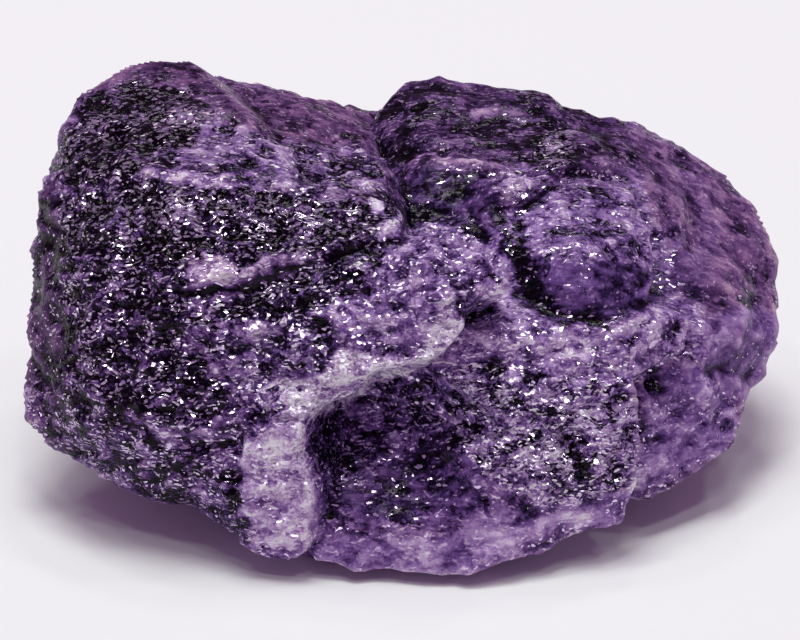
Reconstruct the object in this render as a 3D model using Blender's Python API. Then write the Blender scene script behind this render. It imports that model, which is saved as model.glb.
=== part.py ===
"""Rough tanzanite: one broken, slightly worn lump of purple zoisite resting on a small flat spot.

The lump is a cluster of convex blocks grown round one heart. Each block is the convex hull of a few
corners and of a small core at the heart. Along any ray from the heart the surface lies where the ray
leaves the last block. Shallow bowls are then sunk into it, ledges and flat chips are added, and the
underside is cut level so that the stone rests without rocking.

Lengths are in millimetres until the mesh is made. X runs along the stone, Y to the back, Z up.
"""
import math

import bmesh
import bpy
import numpy as np

MM = 0.001
TILT = math.radians(30.0)      # corners are given as seen by an eye that looks down by this angle
EYE_DISTANCE = 180.0           # from this far away, so that near corners count for less
EYE_LEVEL = 8.9                # height above the table of the point the eye looks at
HEART = (-1.0, -0.3, -3.0)     # across, up and toward the eye
BIG_CORE = 6.0                 # half-width of the core that backs a broad block
SMALL_CORE = 3.5               # the same for a block that overhangs its neighbour
CREASE = 0.12                  # how softly two blocks meet
SPHERE_LEVEL = 7               # icosphere level that the surface is worked out on
SETTLE_ROUNDS = 14             # rounds of spreading the points evenly over the stone
SETTLE_SHARE = 0.7             # how far each round moves a point toward its neighbours' mean
GRAZE = 1e-3                   # smallest closing speed of a ray and a face, to keep distances finite
FACET_COUNT = 9400             # triangles left after thinning
BASE_FADE = (0.1, 0.8)         # chips fade out below the sum of these heights
BASE_SNAP = 0.05               # points this low belong to the flat spot

STONE_COLOUR = "3B1F5C"
STONE_ROUGHNESS = 0.28
STONE_IOR = 1.69

# Visible blocks: edge softness, core, and corners as (across, up, toward the eye).
BLOCKS = {
    "left_top": (0.12, BIG_CORE, [
        (-15.5, 11.7, -3), (-13.8, 12.8, -3), (-10.2, 13.0, -4), (-16.5, 10.7, -2), (-17.3, 9.1, -1.5),
        (-18.1, 6.2, -1), (-8.9, 11.9, -4.5), (-16.6, 7.4, 1.5), (-13.2, 7.4, 4.5), (-10.0, 9.2, 2.0),
        (-5, 6.8, 5.5), (-7.5, 10.4, -1)]),
    "top_shelf": (0.12, BIG_CORE, [
        (-10.0, 9.4, 1.8), (-13.2, 7.4, 4.5), (-5, 6.8, 5.5), (-1, 6.5, 4.2), (-4, 9.3, -0.5),
        (-1.0, 8.0, 0.5), (-8, 10.0, 0)]),
    "back_ridge": (0.12, BIG_CORE, [
        (-8.0, 11.8, -5), (-6.0, 11.2, -5.5), (-5.0, 11.0, -5.5), (-2.5, 10.8, -6.5), (-1.4, 10.3, -7),
        (-4, 9.4, -1.5), (-1, 8.8, -2.5), (-8, 10.3, -1.5), (-9.5, 12.4, -5)]),
    "left_front": (0.12, BIG_CORE, [
        (-18.1, 7.0, 0.0), (-16.9, 7.4, 1.2), (-13.2, 7.4, 4.5), (-5, 6.8, 5.5), (-1, 6.5, 4.2),
        (-18.6, 3.8, -0.5), (-18.9, 1.5, 0), (-18.8, 0, 0.2), (-18.8, -1.5, 0.5), (-16, 3, 4.2),
        (-15.5, -3.5, 5.2), (-11, 1.5, 6.6), (-5, 2.9, 7.2), (-3, 3.5, 7), (0, 4.5, 6.4),
        (-12, -5.6, 5.8), (-8.2, -5.4, 6.2), (-17.5, -3.5, 3.0)]),
    "left_low": (0.12, BIG_CORE, [
        (-18.5, -0.5, 0.0), (-18.9, -2.2, 0.1), (-19.1, -3.2, 0.2), (-19.0, -4.2, 0.4), (-18.0, -6.0, 0.8),
        (-16, -7.4, 1.5), (-14.5, -8.2, 2.0), (-13.0, -8.8, 2.5), (-10.5, -9.6, 3.2), (-8.0, -10.8, 4),
        (-15.5, -4.2, 5.0), (-12, -5.9, 5.6), (-8.2, -5.7, 6.2), (-8, -9.5, 5.4), (-12, -8.0, 4.4),
        (-16.5, -5.5, 3.4)]),
    "column": (0.12, SMALL_CORE, [
        (-8.0, -5.4, 6.6), (-4.8, -5.3, 7.0), (-4.5, -8.5, 6.5), (-4.3, -11.6, 5.1), (-5.2, -12.1, 4.8),
        (-6.9, -11.9, 4.6), (-8, -9.5, 5.6), (-8.2, -11.0, 4.4)]),
    "front_step": (0.12, SMALL_CORE, [
        (-11, 1.3, 6.4), (-8, 1.6, 6.8), (-5, 2.8, 6.9), (-3, 3.4, 7.0), (0, 4.0, 7.0), (1.2, 2, 7.9),
        (1.4, -1.9, 8), (0, -2.7, 8), (-1.5, -2.8, 7.9), (-8.2, -3.0, 6.5), (-10, -2, 6.4)]),
    "tip": (0.25, SMALL_CORE, [
        (-4, 3.4, 7.0), (0, 4.6, 6.6), (1.0, 4.7, 6.8), (2.5, 4.4, 7.4), (4.3, 3.5, 7.6), (5.3, 2.4, 7.6),
        (5.9, 1.4, 7.4), (5.1, 0.9, 7.5), (3.2, 0.9, 8.3), (-2, 0.9, 7.6), (2.5, 2.6, 8.6),
        (-2.5, 2.6, 7.4)]),
    "rim_mid": (0.12, SMALL_CORE, [
        (3.3, 1.6, 8.3), (3.4, -0.4, 8.2), (2.3, -1.4, 8.2), (1.5, -2.1, 8.0), (-1, -1, 7.8),
        (-1, 1.5, 7.7), (2, 1.6, 8.4)]),
    "rim_low": (0.12, SMALL_CORE, [
        (-1.6, -2.5, 7.8), (-2.0, -3.8, 7.6), (-3.5, -4.3, 7.4), (-4.7, -5, 7.2), (-8.2, -5.2, 6.4),
        (-8, -1.5, 6.4), (-3, -1.5, 7.4)]),
    "recess": (0.12, BIG_CORE, [
        (-4.7, -11.4, 4.2), (-4.6, -12.2, 4.4), (-3.5, -12.5, 4.4), (0, -12.7, 4.8), (2, -12.8, 5.2),
        (5, -12.3, 5.2), (6.4, -11.3, 5.2), (7.4, -10.5, 5.0), (9.5, -10.2, 4.4), (11.6, -10.2, 3.6),
        (-4.6, -6, 3.6), (-2.5, -3.8, 4.2), (3, -3.0, 6.0), (8, -3.2, 6.4), (12.0, -3.2, 5.4),
        (12.3, -6, 5.0), (12.4, -8.7, 4.2), (4, -7, 5.2), (9, -8, 5.5)]),
    "middle": (0.25, BIG_CORE, [
        (3.2, -0.2, 6), (3.5, 0.5, 5.6), (6, 0.2, 5.8), (8, -0.1, 6.2), (10.5, -0.2, 5.8), (13, 0.5, 4.4),
        (15, 0.2, 2.6), (14.5, -1.5, 3.0), (11.8, -3.0, 5.2), (8, -3.5, 6.2), (3, -3.2, 5.8),
        (1, -2.8, 5.4)]),
    "pillow": (0.45, BIG_CORE, [
        (5.0, 6.0, 2.4), (7.2, 6.8, 2.0), (10, 7.3, 0.4), (12.2, 6.5, 0.4), (13.3, 4.5, 1.8),
        (13.6, 2.8, 2.9), (13.4, 1.4, 3.6), (12.5, 0.5, 4.4), (10.6, -0.1, 5.4), (8.0, 0.1, 5.4),
        (6.3, 1.0, 4.8), (4.5, 3.5, 3.6), (9, 4.6, 4.4), (9.6, 2.4, 6.0), (12, 3.6, 4.2)]),
    "dark_cheek": (0.35, BIG_CORE, [
        (0.5, 6.4, 1.0), (1.0, 7.2, 0.6), (4.6, 7.4, 1.2), (5.2, 6.0, 2.4), (4.0, 4.4, 3.0),
        (1.0, 4.9, 2.2), (7, 3, 3)]),
    "pale_chip": (0.12, BIG_CORE, [
        (4.7, 7.2, 1.7), (7.2, 7.4, 1.5), (7.7, 6.9, 2.0), (6.3, 6.3, 2.6), (5.0, 6.5, 2.4)]),
    "top_ridge": (0.2, BIG_CORE, [
        (-1.1, 10.6, -5), (-0.2, 11.6, -5.5), (0.9, 12.2, -6), (3.5, 12.2, -6), (5.2, 11.8, -6.5),
        (7.4, 11.1, -6.5), (9, 10.8, -6.5), (10.6, 10.0, -7), (0.5, 7.2, 0), (2, 7.9, 0.2),
        (4, 7.7, 0.8), (7, 7.9, 0.5), (10, 8.0, -0.2), (11.6, 7.6, -1.4)]),
    "far_right": (0.3, BIG_CORE, [
        (10.6, 10.2, -6), (12.5, 10.0, -7), (13.6, 9.2, -7), (14.8, 8.5, -7.5), (16.3, 7.5, -7.5),
        (17.4, 6.8, -7.5), (18.2, 6.0, -7.5), (18.9, 4.4, -6.5), (19.6, 3.0, -5), (19.5, 1.6, -4.4),
        (19.4, 0.2, -4), (11.6, 7.6, -1), (13.0, 6.2, -0.6), (14.0, 4.0, 0.2), (14.6, 2.0, 0.6),
        (16.8, 1.2, -0.2)]),
    "right_bump": (0.4, BIG_CORE, [
        (14.8, 0.4, 1.4), (19.4, 1.5, -3.6), (19.5, 0.8, -3), (19.4, -1.2, -2.2), (18.8, -3.2, -2),
        (17.4, -4.3, -0.8), (15.2, -2.5, 1.6), (14.7, -1.0, 2.0), (17.0, -0.5, 0.8)]),
    "low_right": (0.25, BIG_CORE, [
        (11.8, -2.3, 3.4), (14.5, -2.0, 2.2), (17.8, -3.7, -0.8), (17.3, -4.6, 0.2), (17.3, -5.2, 0.2),
        (16.3, -7.1, 0.6), (14.4, -8.4, 1.2), (12.6, -9.3, 2.2), (12.0, -6, 3.6)]),
}

# Blocks of the back and the underside: edge softness and corners as plain (x, y, z).
BACK_BLOCKS = {
    "back_left": (0.15, [
        (-14.5, 8.6, 17.6), (-10.5, 9.8, 17.2), (-17.2, 6.6, 15.4), (-18.0, 5, 13.6), (-18.5, 2.4, 10.4),
        (-17.8, 0, 5.8), (-15.3, 0.5, 3.2), (-16.0, 8.2, 11), (-13, 10.8, 9), (-8, 12.4, 12),
        (-9, 11.4, 5), (-12, 6.5, 2.4), (-5, 11.7, 14.6), (-6, 9.8, 2.0)]),
    "back_mid": (0.15, [
        (-2.2, 11.3, 14.8), (1, 11.4, 15.8), (6, 11.4, 15.0), (10, 11.4, 13.6), (-3.5, 12.9, 10),
        (3, 13.7, 10.5), (8, 13.2, 9), (10.5, 11.5, 5.5), (4, 12.2, 4), (-3, 11.7, 4), (0, 9.4, 1.0),
        (7, 9.4, 2)]),
    "back_right": (0.2, [
        (9, 11.2, 13.4), (13, 11.0, 12.0), (16.4, 9.8, 10.4), (18, 7.5, 9.0), (18.8, 4, 6.8), (15, 11, 8),
        (10, 12.4, 7.5), (16, 8, 4.8), (12.0, 9.6, 3.2), (14, 3.5, 2.4), (17.4, 3, 4.6)]),
    "belly": (0.15, [
        (-14.8, 3, 4.8), (-14, -3.5, 4.6), (-10, -7, 3.2), (-9, 4, 0.7), (-7, -3, -0.1), (-6, -7, -0.1),
        (-2.5, -9, -0.2), (3.5, -9.4, -0.2), (7, -5, -0.1), (8, 1, 0.2), (14.2, -2, 4.2), (13, 7, 4.0),
        (4, 11.6, 4.0), (-7, 11, 4.0), (5, 6, -0.1), (-5, 6, -0.1), (0, 0, -0.5)]),
}

# Bowls sunk along the rays: middle and half-widths as (across, up, toward the eye), depth, and how
# steep the wall is (below 1 for a steep hole, above 1 for a soft hollow).
BOWLS = [
    ((-0.4, -6.0, 5.0), (5.0, 4.0, 5.0), 2.3, 1.0),
    ((7.0, -7.2, 5.5), (5.0, 3.0, 5.0), 0.5, 2.0),
    ((-4.0, -6.4, 5.0), (0.8, 2.1, 4.0), 2.0, 0.7),
    ((4.3, 0.5, 6.0), (0.8, 0.8, 4.0), 1.4, 0.7),
    ((12.8, -3.1, 3.5), (0.7, 1.0, 4.0), 1.6, 0.7),
    ((-4.0, 7.6, 1.5), (3.0, 1.0, 4.0), 0.5, 1.5),
    ((2.4, 6.0, 1.5), (2.2, 1.2, 4.0), 0.4, 1.5),
    ((6.0, 9.6, -3.0), (3.5, 0.8, 4.0), 0.5, 1.5),
    ((15.0, 4.5, -3.0), (1.6, 2.2, 4.0), 0.5, 1.5),
]

# Ledges: points of the line, rise and width. The surface stands proud on the line's left.
LEDGES = [
    ([(-11, 1.5), (-7.5, 1.9), (-5, 2.9), (0, 4.3), (0.5, 5.3)], 0.22, 0.45),
    ([(-13.5, -4.5), (-11.8, -5.5), (-10, -5.85), (-8.2, -5.5)], 0.25, 0.5),
    ([(-17.0, 4.6), (-14.6, 4.0), (-11.5, 4.4), (-8.5, 5.0)], 0.12, 0.4),
    ([(-15.5, -1.0), (-12.0, -0.2), (-9.4, -1.2), (-6.0, -0.6)], 0.12, 0.4),
    ([(4.0, 5.2), (4.6, 3.8), (5.1, 2.4)], 0.15, 0.3),
    ([(-0.8, 8.9), (2.5, 8.5), (5.5, 9.0), (9.5, 8.6)], 0.2, 0.4),
    ([(0.5, 10.4), (3.2, 10.2), (7.0, 10.6)], 0.2, 0.4),
    ([(-14.5, 9.4), (-11.5, 9.0), (-8.0, 10.2)], 0.15, 0.4),
    ([(-6.5, 10.2), (-4.0, 9.9), (-2.0, 10.0)], 0.2, 0.5),
    ([(13.6, 5.2), (14.8, 3.0), (15.6, 1.6)], 0.15, 0.4),
    ([(15.0, -3.2), (14.2, -5.0), (13.2, -6.6)], 0.12, 0.4),
]
FRONT_FADE = (-9.0, 3.0)       # ledges start this far toward the eye and are whole after so much more

BOWL_STRAY = (1.7, 0.45, 41)   # size, reach and salt of the noise that roughens the bowls' edges

# Chips: size of a flat facet, its height and the turn of its lattice.
CHIPS = [(4.5, 0.22, 0.0), (2.2, 0.18, 0.5)]
CHIP_SALT = 5
CHIP_STRAY = (2.2, 0.5, 1)     # size, reach and salt of the noise that bends the chips' lattice
# Zigzag of the blocks' edges: size of a straight stretch, how far it strays, and its salt.
ZIGZAGS = [(2.4, 0.30, 51), (1.0, 0.12, 54)]
ZIGZAG_RADIUS = 11.0           # radius of the ball that the zigzag is laid out on
ZIGZAG_TURN = 0.3              # turn of its lattice for each step of salt


def from_eye(points):
    """World place of points given as (across, up, toward the eye)."""
    p = np.asarray(points, float).reshape(-1, 3)
    shrink = (EYE_DISTANCE - p[:, 2]) / EYE_DISTANCE
    across, up, toward = p[:, 0] * shrink, p[:, 1] * shrink, p[:, 2]
    y = up * math.sin(TILT) - toward * math.cos(TILT)
    z = up * math.cos(TILT) + toward * math.sin(TILT) + EYE_LEVEL
    return np.stack([across, y, z], 1)


def to_eye(points):
    """The same the other way: (across, up, toward the eye) of world points."""
    y, z = points[:, 1], points[:, 2] - EYE_LEVEL
    toward = z * math.sin(TILT) - y * math.cos(TILT)
    up = z * math.cos(TILT) + y * math.sin(TILT)
    shrink = (EYE_DISTANCE - toward) / EYE_DISTANCE
    return np.stack([points[:, 0] / shrink, up / shrink, toward], 1)


def hull_planes(corners, core):
    """Outward normals and offsets of the convex hull of the corners and of the core's six tips."""
    heart = from_eye([HEART])
    tips = heart + core * np.concatenate([np.eye(3), -np.eye(3)])
    points = np.concatenate([corners, tips])
    bm = bmesh.new()
    for point in points:
        bm.verts.new(point)
    bmesh.ops.convex_hull(bm, input=bm.verts)
    middle = points.mean(0)
    planes = {}
    for face in bm.faces:
        normal = np.array(face.normal)
        offset = normal @ np.array(face.verts[0].co)
        if normal @ middle > offset:
            normal, offset = -normal, -offset
        if np.linalg.norm(normal) > 0.5:
            planes[tuple(np.round([*normal, offset], 4))] = (normal, offset)
    bm.free()
    return np.array([n for n, _ in planes.values()]), np.array([h for _, h in planes.values()])


def stone_blocks():
    """Planes and edge softness of every block."""
    blocks = [(*hull_planes(from_eye(corners), core), soft) for soft, core, corners in BLOCKS.values()]
    for soft, corners in BACK_BLOCKS.values():
        blocks.append((*hull_planes(np.array(corners, float), BIG_CORE), soft))
    return blocks


def hashed(cells, salt):
    """A repeatable number from 0 to 1 for each whole-numbered cell."""
    c = cells.astype(np.int64).astype(np.uint64)
    keys = np.uint64(73856093), np.uint64(19349663), np.uint64(83492791)
    h = (c[:, 0] * keys[0]) ^ (c[:, 1] * keys[1]) ^ (c[:, 2] * keys[2])
    low = np.uint64(0xFFFFFFFF)
    h = (h ^ np.uint64(salt * 2654435761 % 2**32)) & low
    h = ((h ^ (h >> np.uint64(15))) * np.uint64(2246822519)) & low
    h = ((h ^ (h >> np.uint64(13))) * np.uint64(3266489917)) & low
    return (h ^ (h >> np.uint64(16))).astype(float) / 2.0**32


def facet_noise(points, size, salt, turn=0.0):
    """Noise from -1 to 1, straight between the corners of a tetrahedral lattice: facets with creases."""
    a, b = 0.7 + turn, 0.9 - 0.6 * turn
    about_z = np.array([[math.cos(a), -math.sin(a), 0], [math.sin(a), math.cos(a), 0], [0, 0, 1]])
    about_x = np.array([[1, 0, 0], [0, math.cos(b), -math.sin(b)], [0, math.sin(b), math.cos(b)]])
    q = points @ (about_x @ about_z).T / size
    q = q + q.sum(1, keepdims=True) / 3
    corner = np.floor(q)
    part = q - corner
    order = np.argsort(-part, axis=1, kind="stable")
    part = np.take_along_axis(part, order, 1)
    weights = [1 - part[:, 0], part[:, 0] - part[:, 1], part[:, 1] - part[:, 2], part[:, 2]]
    rows = np.arange(len(q))
    value = weights[0] * hashed(corner, salt)
    for k in range(3):
        corner[rows, order[:, k]] += 1
        value = value + weights[k + 1] * hashed(corner, salt)
    return value * 2 - 1


def smooth_noise(points, size, salt):
    """Noise from -1 to 1 that is eased between the corners of a square lattice."""
    q = points / size
    base = np.floor(q)
    f = q - base
    f = f * f * (3 - 2 * f)
    total = np.zeros(len(q))
    for dx in (0, 1):
        for dy in (0, 1):
            for dz in (0, 1):
                w = np.where(dx, f[:, 0], 1 - f[:, 0]) * np.where(dy, f[:, 1], 1 - f[:, 1])
                w = w * np.where(dz, f[:, 2], 1 - f[:, 2])
                total += w * (hashed(base + (dx, dy, dz), salt) * 2 - 1)
    return total


def strayed(points, size, far, salt):
    """The points, each moved by up to the given distance by smooth noise in three directions."""
    return points + far * np.stack([smooth_noise(points, size, salt + axis) for axis in range(3)], 1)


def unit(vectors):
    """Vectors made one long."""
    return vectors / np.linalg.norm(vectors, axis=1)[:, None]


def soft_lowest(values, softness):
    """Lowest of each row, with its corners turned softly."""
    lowest = values.min(1, keepdims=True)
    return (lowest - softness * np.log(np.exp((lowest - values) / softness).sum(1, keepdims=True)))[:, 0]


def reach(ways, heart, blocks):
    """How far the stone's surface is from the heart along each way."""
    stray = np.zeros_like(ways)
    for size, far, salt in ZIGZAGS:
        for axis in range(3):
            turn = ZIGZAG_TURN * (salt + axis)
            stray[:, axis] += far * facet_noise(ZIGZAG_RADIUS * ways, size, salt + axis, turn)
    bent = unit(ways + stray / ZIGZAG_RADIUS)
    leaves = []
    for normals, offsets, soft in blocks:
        closing = np.maximum(bent @ normals.T, GRAZE)
        leaves.append(soft_lowest((offsets - normals @ heart) / closing, soft))
    far = -soft_lowest(-np.stack(leaves, 1), CREASE)
    seen = to_eye(heart + ways * far[:, None])
    seen = strayed(seen, *BOWL_STRAY)
    for middle, half, depth, power in BOWLS:
        inside = 1 - (((seen - middle) / half) ** 2).sum(1)
        far = far - depth * np.clip(inside, 0, 1) ** power
    to_floor = np.where(ways[:, 2] < -GRAZE, heart[2] / np.maximum(-ways[:, 2], GRAZE), np.inf)
    return np.minimum(far, to_floor)


def ledge_rise(seen):
    """Rise of the ledges: proud on one side of each line, sunk on the other, fading away from it."""
    total = np.zeros(len(seen))
    place = seen[:, :2]
    for line, rise, width in LEDGES:
        nearest = np.full(len(place), np.inf)
        side = np.zeros(len(place))
        beyond = np.zeros(len(place))
        for start, end in zip(np.array(line[:-1], float), np.array(line[1:], float)):
            length = np.hypot(*(end - start))
            along_way = (end - start) / length
            offset = place - start
            along = offset @ along_way
            kept = np.clip(along, 0, length)
            gap = np.linalg.norm(offset - kept[:, None] * along_way, axis=1)
            closer = gap < nearest
            nearest = np.where(closer, gap, nearest)
            cross = along_way[0] * offset[:, 1] - along_way[1] * offset[:, 0]
            side = np.where(closer, cross / width, side)
            beyond = np.where(closer, np.abs(along - kept) / width, beyond)
        total += rise * side * np.exp(0.5 - 0.5 * side**2 - 0.5 * beyond**2)
    return total * np.clip((seen[:, 2] - FRONT_FADE[0]) / FRONT_FADE[1], 0, 1)


def chip_rise(points):
    """Height of the flat chips: facets of each size, strayed a little so that no lattice shows."""
    bent = strayed(points, *CHIP_STRAY)
    total = np.zeros(len(points))
    for step, (size, height, turn) in enumerate(CHIPS):
        total += height * facet_noise(bent, size, CHIP_SALT + step, turn)
    return total


def neighbour_average(values, edges):
    """Mean of each point's neighbours along the mesh's edges."""
    count = len(values)
    total = np.zeros_like(values)
    for near, other in ((0, 1), (1, 0)):
        for axis in range(3):
            total[:, axis] += np.bincount(edges[:, near], values[edges[:, other], axis], count)
    return total / np.bincount(edges.ravel(), minlength=count)[:, None]


def stone_points(ways, edges):
    """Surface points in millimetres, spread evenly, with ledges and chips, cut level underneath."""
    heart = from_eye([HEART])[0]
    blocks = stone_blocks()
    for _ in range(SETTLE_ROUNDS):
        points = heart + ways * reach(ways, heart, blocks)[:, None]
        points += SETTLE_SHARE * (neighbour_average(points, edges) - points)
        ways = unit(points - heart)
    points = heart + ways * reach(ways, heart, blocks)[:, None]
    rise = ledge_rise(to_eye(points)) + chip_rise(points)
    rise *= np.clip((points[:, 2] - BASE_FADE[0]) / BASE_FADE[1], 0, 1)
    points += ways * rise[:, None]
    points[:, 2] = np.maximum(points[:, 2], 0.0)
    return points


def sphere_mesh(name):
    """An icosphere's mesh, whose points are the ways that the stone is worked out along."""
    bm = bmesh.new()
    bmesh.ops.create_icosphere(bm, subdivisions=SPHERE_LEVEL, radius=1.0)
    mesh = bpy.data.meshes.new(name)
    bm.to_mesh(mesh)
    bm.free()
    return mesh


def thinned_mesh(obj, name):
    """The object's mesh with its flat stretches made of few triangles and its base exactly level."""
    thin = obj.modifiers.new("thin", "DECIMATE")
    thin.ratio = FACET_COUNT / len(obj.data.polygons)
    depsgraph = bpy.context.evaluated_depsgraph_get()
    mesh = bpy.data.meshes.new_from_object(obj.evaluated_get(depsgraph))
    mesh.name = name
    obj.modifiers.remove(thin)
    for vertex in mesh.vertices:
        if vertex.co.z < BASE_SNAP * MM:
            vertex.co.z = 0.0
    return mesh


def linear(hex_colour):
    """Linear colour with full alpha from an sRGB hex value."""
    parts = [int(hex_colour[i:i + 2], 16) / 255 for i in (0, 2, 4)]
    bent = [c / 12.92 if c <= 0.04045 else ((c + 0.055) / 1.055) ** 2.4 for c in parts]
    return (*bent, 1.0)


def stone_material():
    """Deep violet zoisite with a glassy break."""
    material = bpy.data.materials.new("tanzanite")
    material.use_nodes = True
    shader = material.node_tree.nodes["Principled BSDF"]
    shader.inputs["Base Color"].default_value = linear(STONE_COLOUR)
    shader.inputs["Roughness"].default_value = STONE_ROUGHNESS
    shader.inputs["IOR"].default_value = STONE_IOR
    shader.inputs["Metallic"].default_value = 0.0
    return material


def build():
    """The stone as one closed, named object."""
    for obj in list(bpy.data.objects):
        bpy.data.objects.remove(obj)
    mesh = sphere_mesh("stone_fine")
    ways = np.empty(len(mesh.vertices) * 3)
    mesh.vertices.foreach_get("co", ways)
    edges = np.empty(len(mesh.edges) * 2, dtype=np.int32)
    mesh.edges.foreach_get("vertices", edges)
    points = stone_points(unit(ways.reshape(-1, 3)), edges.reshape(-1, 2))
    mesh.vertices.foreach_set("co", (points * MM).ravel())
    mesh.update()
    stone = bpy.data.objects.new("rough_tanzanite", mesh)
    bpy.context.scene.collection.objects.link(stone)
    stone.data = thinned_mesh(stone, "rough_tanzanite")
    stone.data.materials.append(stone_material())
    bpy.data.meshes.remove(mesh)
    return stone


build()
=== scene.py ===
"""Rough tanzanite: a broken lump of purple zoisite on a pale table under soft studio light.

The stone's surface is worked out along rays from its heart, as in the part's own source, but finer:
convex blocks, bowls, ledges and facets down to half a millimetre. Named patches then say where the
break is dark and glassy, where it is pale and sugary, and where it is stained brown; a few paint shade
into the crease and the holes, and crests and dents get painted light and shade.

The stone's own lengths are in millimetres, and the studio's in metres.
"""
from __future__ import annotations

import logging
import math
from dataclasses import dataclass, field
from enum import Enum, IntEnum

import bmesh
import bpy
import numpy as np
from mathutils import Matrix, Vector


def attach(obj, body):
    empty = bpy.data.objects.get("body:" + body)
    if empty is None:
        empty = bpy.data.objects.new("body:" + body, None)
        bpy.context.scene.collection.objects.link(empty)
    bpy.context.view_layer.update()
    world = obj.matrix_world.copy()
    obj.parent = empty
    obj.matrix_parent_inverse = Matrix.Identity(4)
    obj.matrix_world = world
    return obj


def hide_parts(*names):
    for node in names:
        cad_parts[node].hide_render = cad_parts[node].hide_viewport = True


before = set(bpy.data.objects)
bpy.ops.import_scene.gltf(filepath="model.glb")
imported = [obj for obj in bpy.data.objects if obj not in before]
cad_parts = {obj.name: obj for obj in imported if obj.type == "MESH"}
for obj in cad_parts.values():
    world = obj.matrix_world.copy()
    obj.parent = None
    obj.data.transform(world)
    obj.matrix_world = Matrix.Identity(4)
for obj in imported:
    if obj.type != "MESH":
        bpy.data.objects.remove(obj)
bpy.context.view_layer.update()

log = logging.getLogger("tanzanite")

MM = 0.001

# A ray that falls or closes on a face more slowly than this is taken to do so at this pace.
LEAST_FALL = 1e-6
LEAST_CLOSING = 1e-3

# A normal shorter than this belongs to a face of no area.
LEAST_NORMAL = 0.5

# Primes and bit shifts that scramble a cell's numbers (the last one only shifts), and their range.
CELL_PRIMES = (73856093, 19349663, 83492791)
SALT_PRIME = 2654435761
MIXING = ((15, 2246822519), (13, 3266489917), (16, 1))
WORD = 2**32

# The facets' lattice stands askew, so that none of its planes is level; a turn adds to both angles.
LATTICE_SPIN = 0.7
LATTICE_TIP = 0.9
TIP_PER_TURN = -0.6


class Salt(IntEnum):
    """Which set of repeatable numbers a pattern draws; one with several parts counts on from its own."""

    RELIEF = 1
    CHIPS = 5
    STEPS = 15
    WORN_STEPS = 25
    BOWLS = 41
    ZIGZAGS = 51
    SMALL_ZIGZAGS = 54
    PATCH_EDGES = 61
    PATCH_NICKS = 71
    TONE = 81
    GLITTER = 82
    STAIN = 83
    RIMS = 91


def linear(hex_colour: str) -> tuple[float, float, float, float]:
    """Turn an sRGB hex value into a linear colour.

    Args:
        hex_colour: six hex digits.

    Returns:
        Linear red, green and blue, and an alpha of 1.
    """
    parts = [int(hex_colour[i:i + 2], 16) / 255 for i in (0, 2, 4)]
    red, green, blue = (c / 12.92 if c <= 0.04045 else ((c + 0.055) / 1.055) ** 2.4 for c in parts)
    return red, green, blue, 1.0


def unit(vectors: np.ndarray) -> np.ndarray:
    """Vectors divided by their own lengths."""
    return vectors / np.linalg.norm(vectors, axis=1)[:, None]


def hashed(cells: np.ndarray, salt: int) -> np.ndarray:
    """Give each whole-numbered cell a repeatable number.

    The three whole numbers are multiplied by large primes and mixed bit by bit.

    Args:
        cells: whole-numbered places, one row each.
        salt: picks another set of numbers.

    Returns:
        A number from 0 to 1 for each row.
    """
    c = cells.astype(np.int64).astype(np.uint64)
    low = np.uint64(WORD - 1)
    h = np.uint64(salt * SALT_PRIME % WORD)
    for axis, prime in enumerate(CELL_PRIMES):
        h = h ^ (c[:, axis] * np.uint64(prime))
    h = h & low
    for shift, prime in MIXING:
        h = ((h ^ (h >> np.uint64(shift))) * np.uint64(prime)) & low
    return h.astype(float) / WORD


def facet_noise(points: np.ndarray, size: float, salt: int, turn: float = 0.0) -> np.ndarray:
    """Noise made of flat facets that meet in creases.

    Space is cut into tetrahedra of about the given size; each corner has its own height, and the
    value runs straight between the four corners.

    Args:
        points: places.
        size: edge of a tetrahedron.
        salt: picks another set of heights.
        turn: turns the lattice, so that two sizes don't line up.

    Returns:
        Heights from -1 to 1.
    """
    a, b = LATTICE_SPIN + turn, LATTICE_TIP + TIP_PER_TURN * turn
    about_z = np.array([[math.cos(a), -math.sin(a), 0], [math.sin(a), math.cos(a), 0], [0, 0, 1]])
    about_x = np.array([[1, 0, 0], [0, math.cos(b), -math.sin(b)], [0, math.sin(b), math.cos(b)]])
    q = points @ (about_x @ about_z).T / size
    q = q + q.sum(1, keepdims=True) / 3
    corner = np.floor(q)
    part = q - corner
    order = np.argsort(-part, axis=1, kind="stable")
    part = np.take_along_axis(part, order, 1)
    weights = [1 - part[:, 0], part[:, 0] - part[:, 1], part[:, 1] - part[:, 2], part[:, 2]]
    rows = np.arange(len(q))
    value = weights[0] * hashed(corner, salt)
    for k in range(3):
        corner[rows, order[:, k]] += 1
        value = value + weights[k + 1] * hashed(corner, salt)
    return value * 2 - 1


def smooth_noise(points: np.ndarray, size: float, salt: int) -> np.ndarray:
    """Noise that eases from corner to corner of a square lattice.

    Args:
        points: places.
        size: cell width.
        salt: picks another set of values.

    Returns:
        Values from -1 to 1.
    """
    q = points / size
    base = np.floor(q)
    f = q - base
    f = f * f * (3 - 2 * f)
    total = np.zeros(len(q))
    for dx in (0, 1):
        for dy in (0, 1):
            for dz in (0, 1):
                w = np.where(dx, f[:, 0], 1 - f[:, 0]) * np.where(dy, f[:, 1], 1 - f[:, 1])
                w = w * np.where(dz, f[:, 2], 1 - f[:, 2])
                total += w * (hashed(base + (dx, dy, dz), salt) * 2 - 1)
    return total


def soft_lowest(values: np.ndarray, softness: float) -> np.ndarray:
    """Lowest of each row, less softness times the log of the summed exp of the gaps to it."""
    low = values.min(1, keepdims=True)
    return (low - softness * np.log(np.exp((low - values) / softness).sum(1, keepdims=True)))[:, 0]


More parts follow.
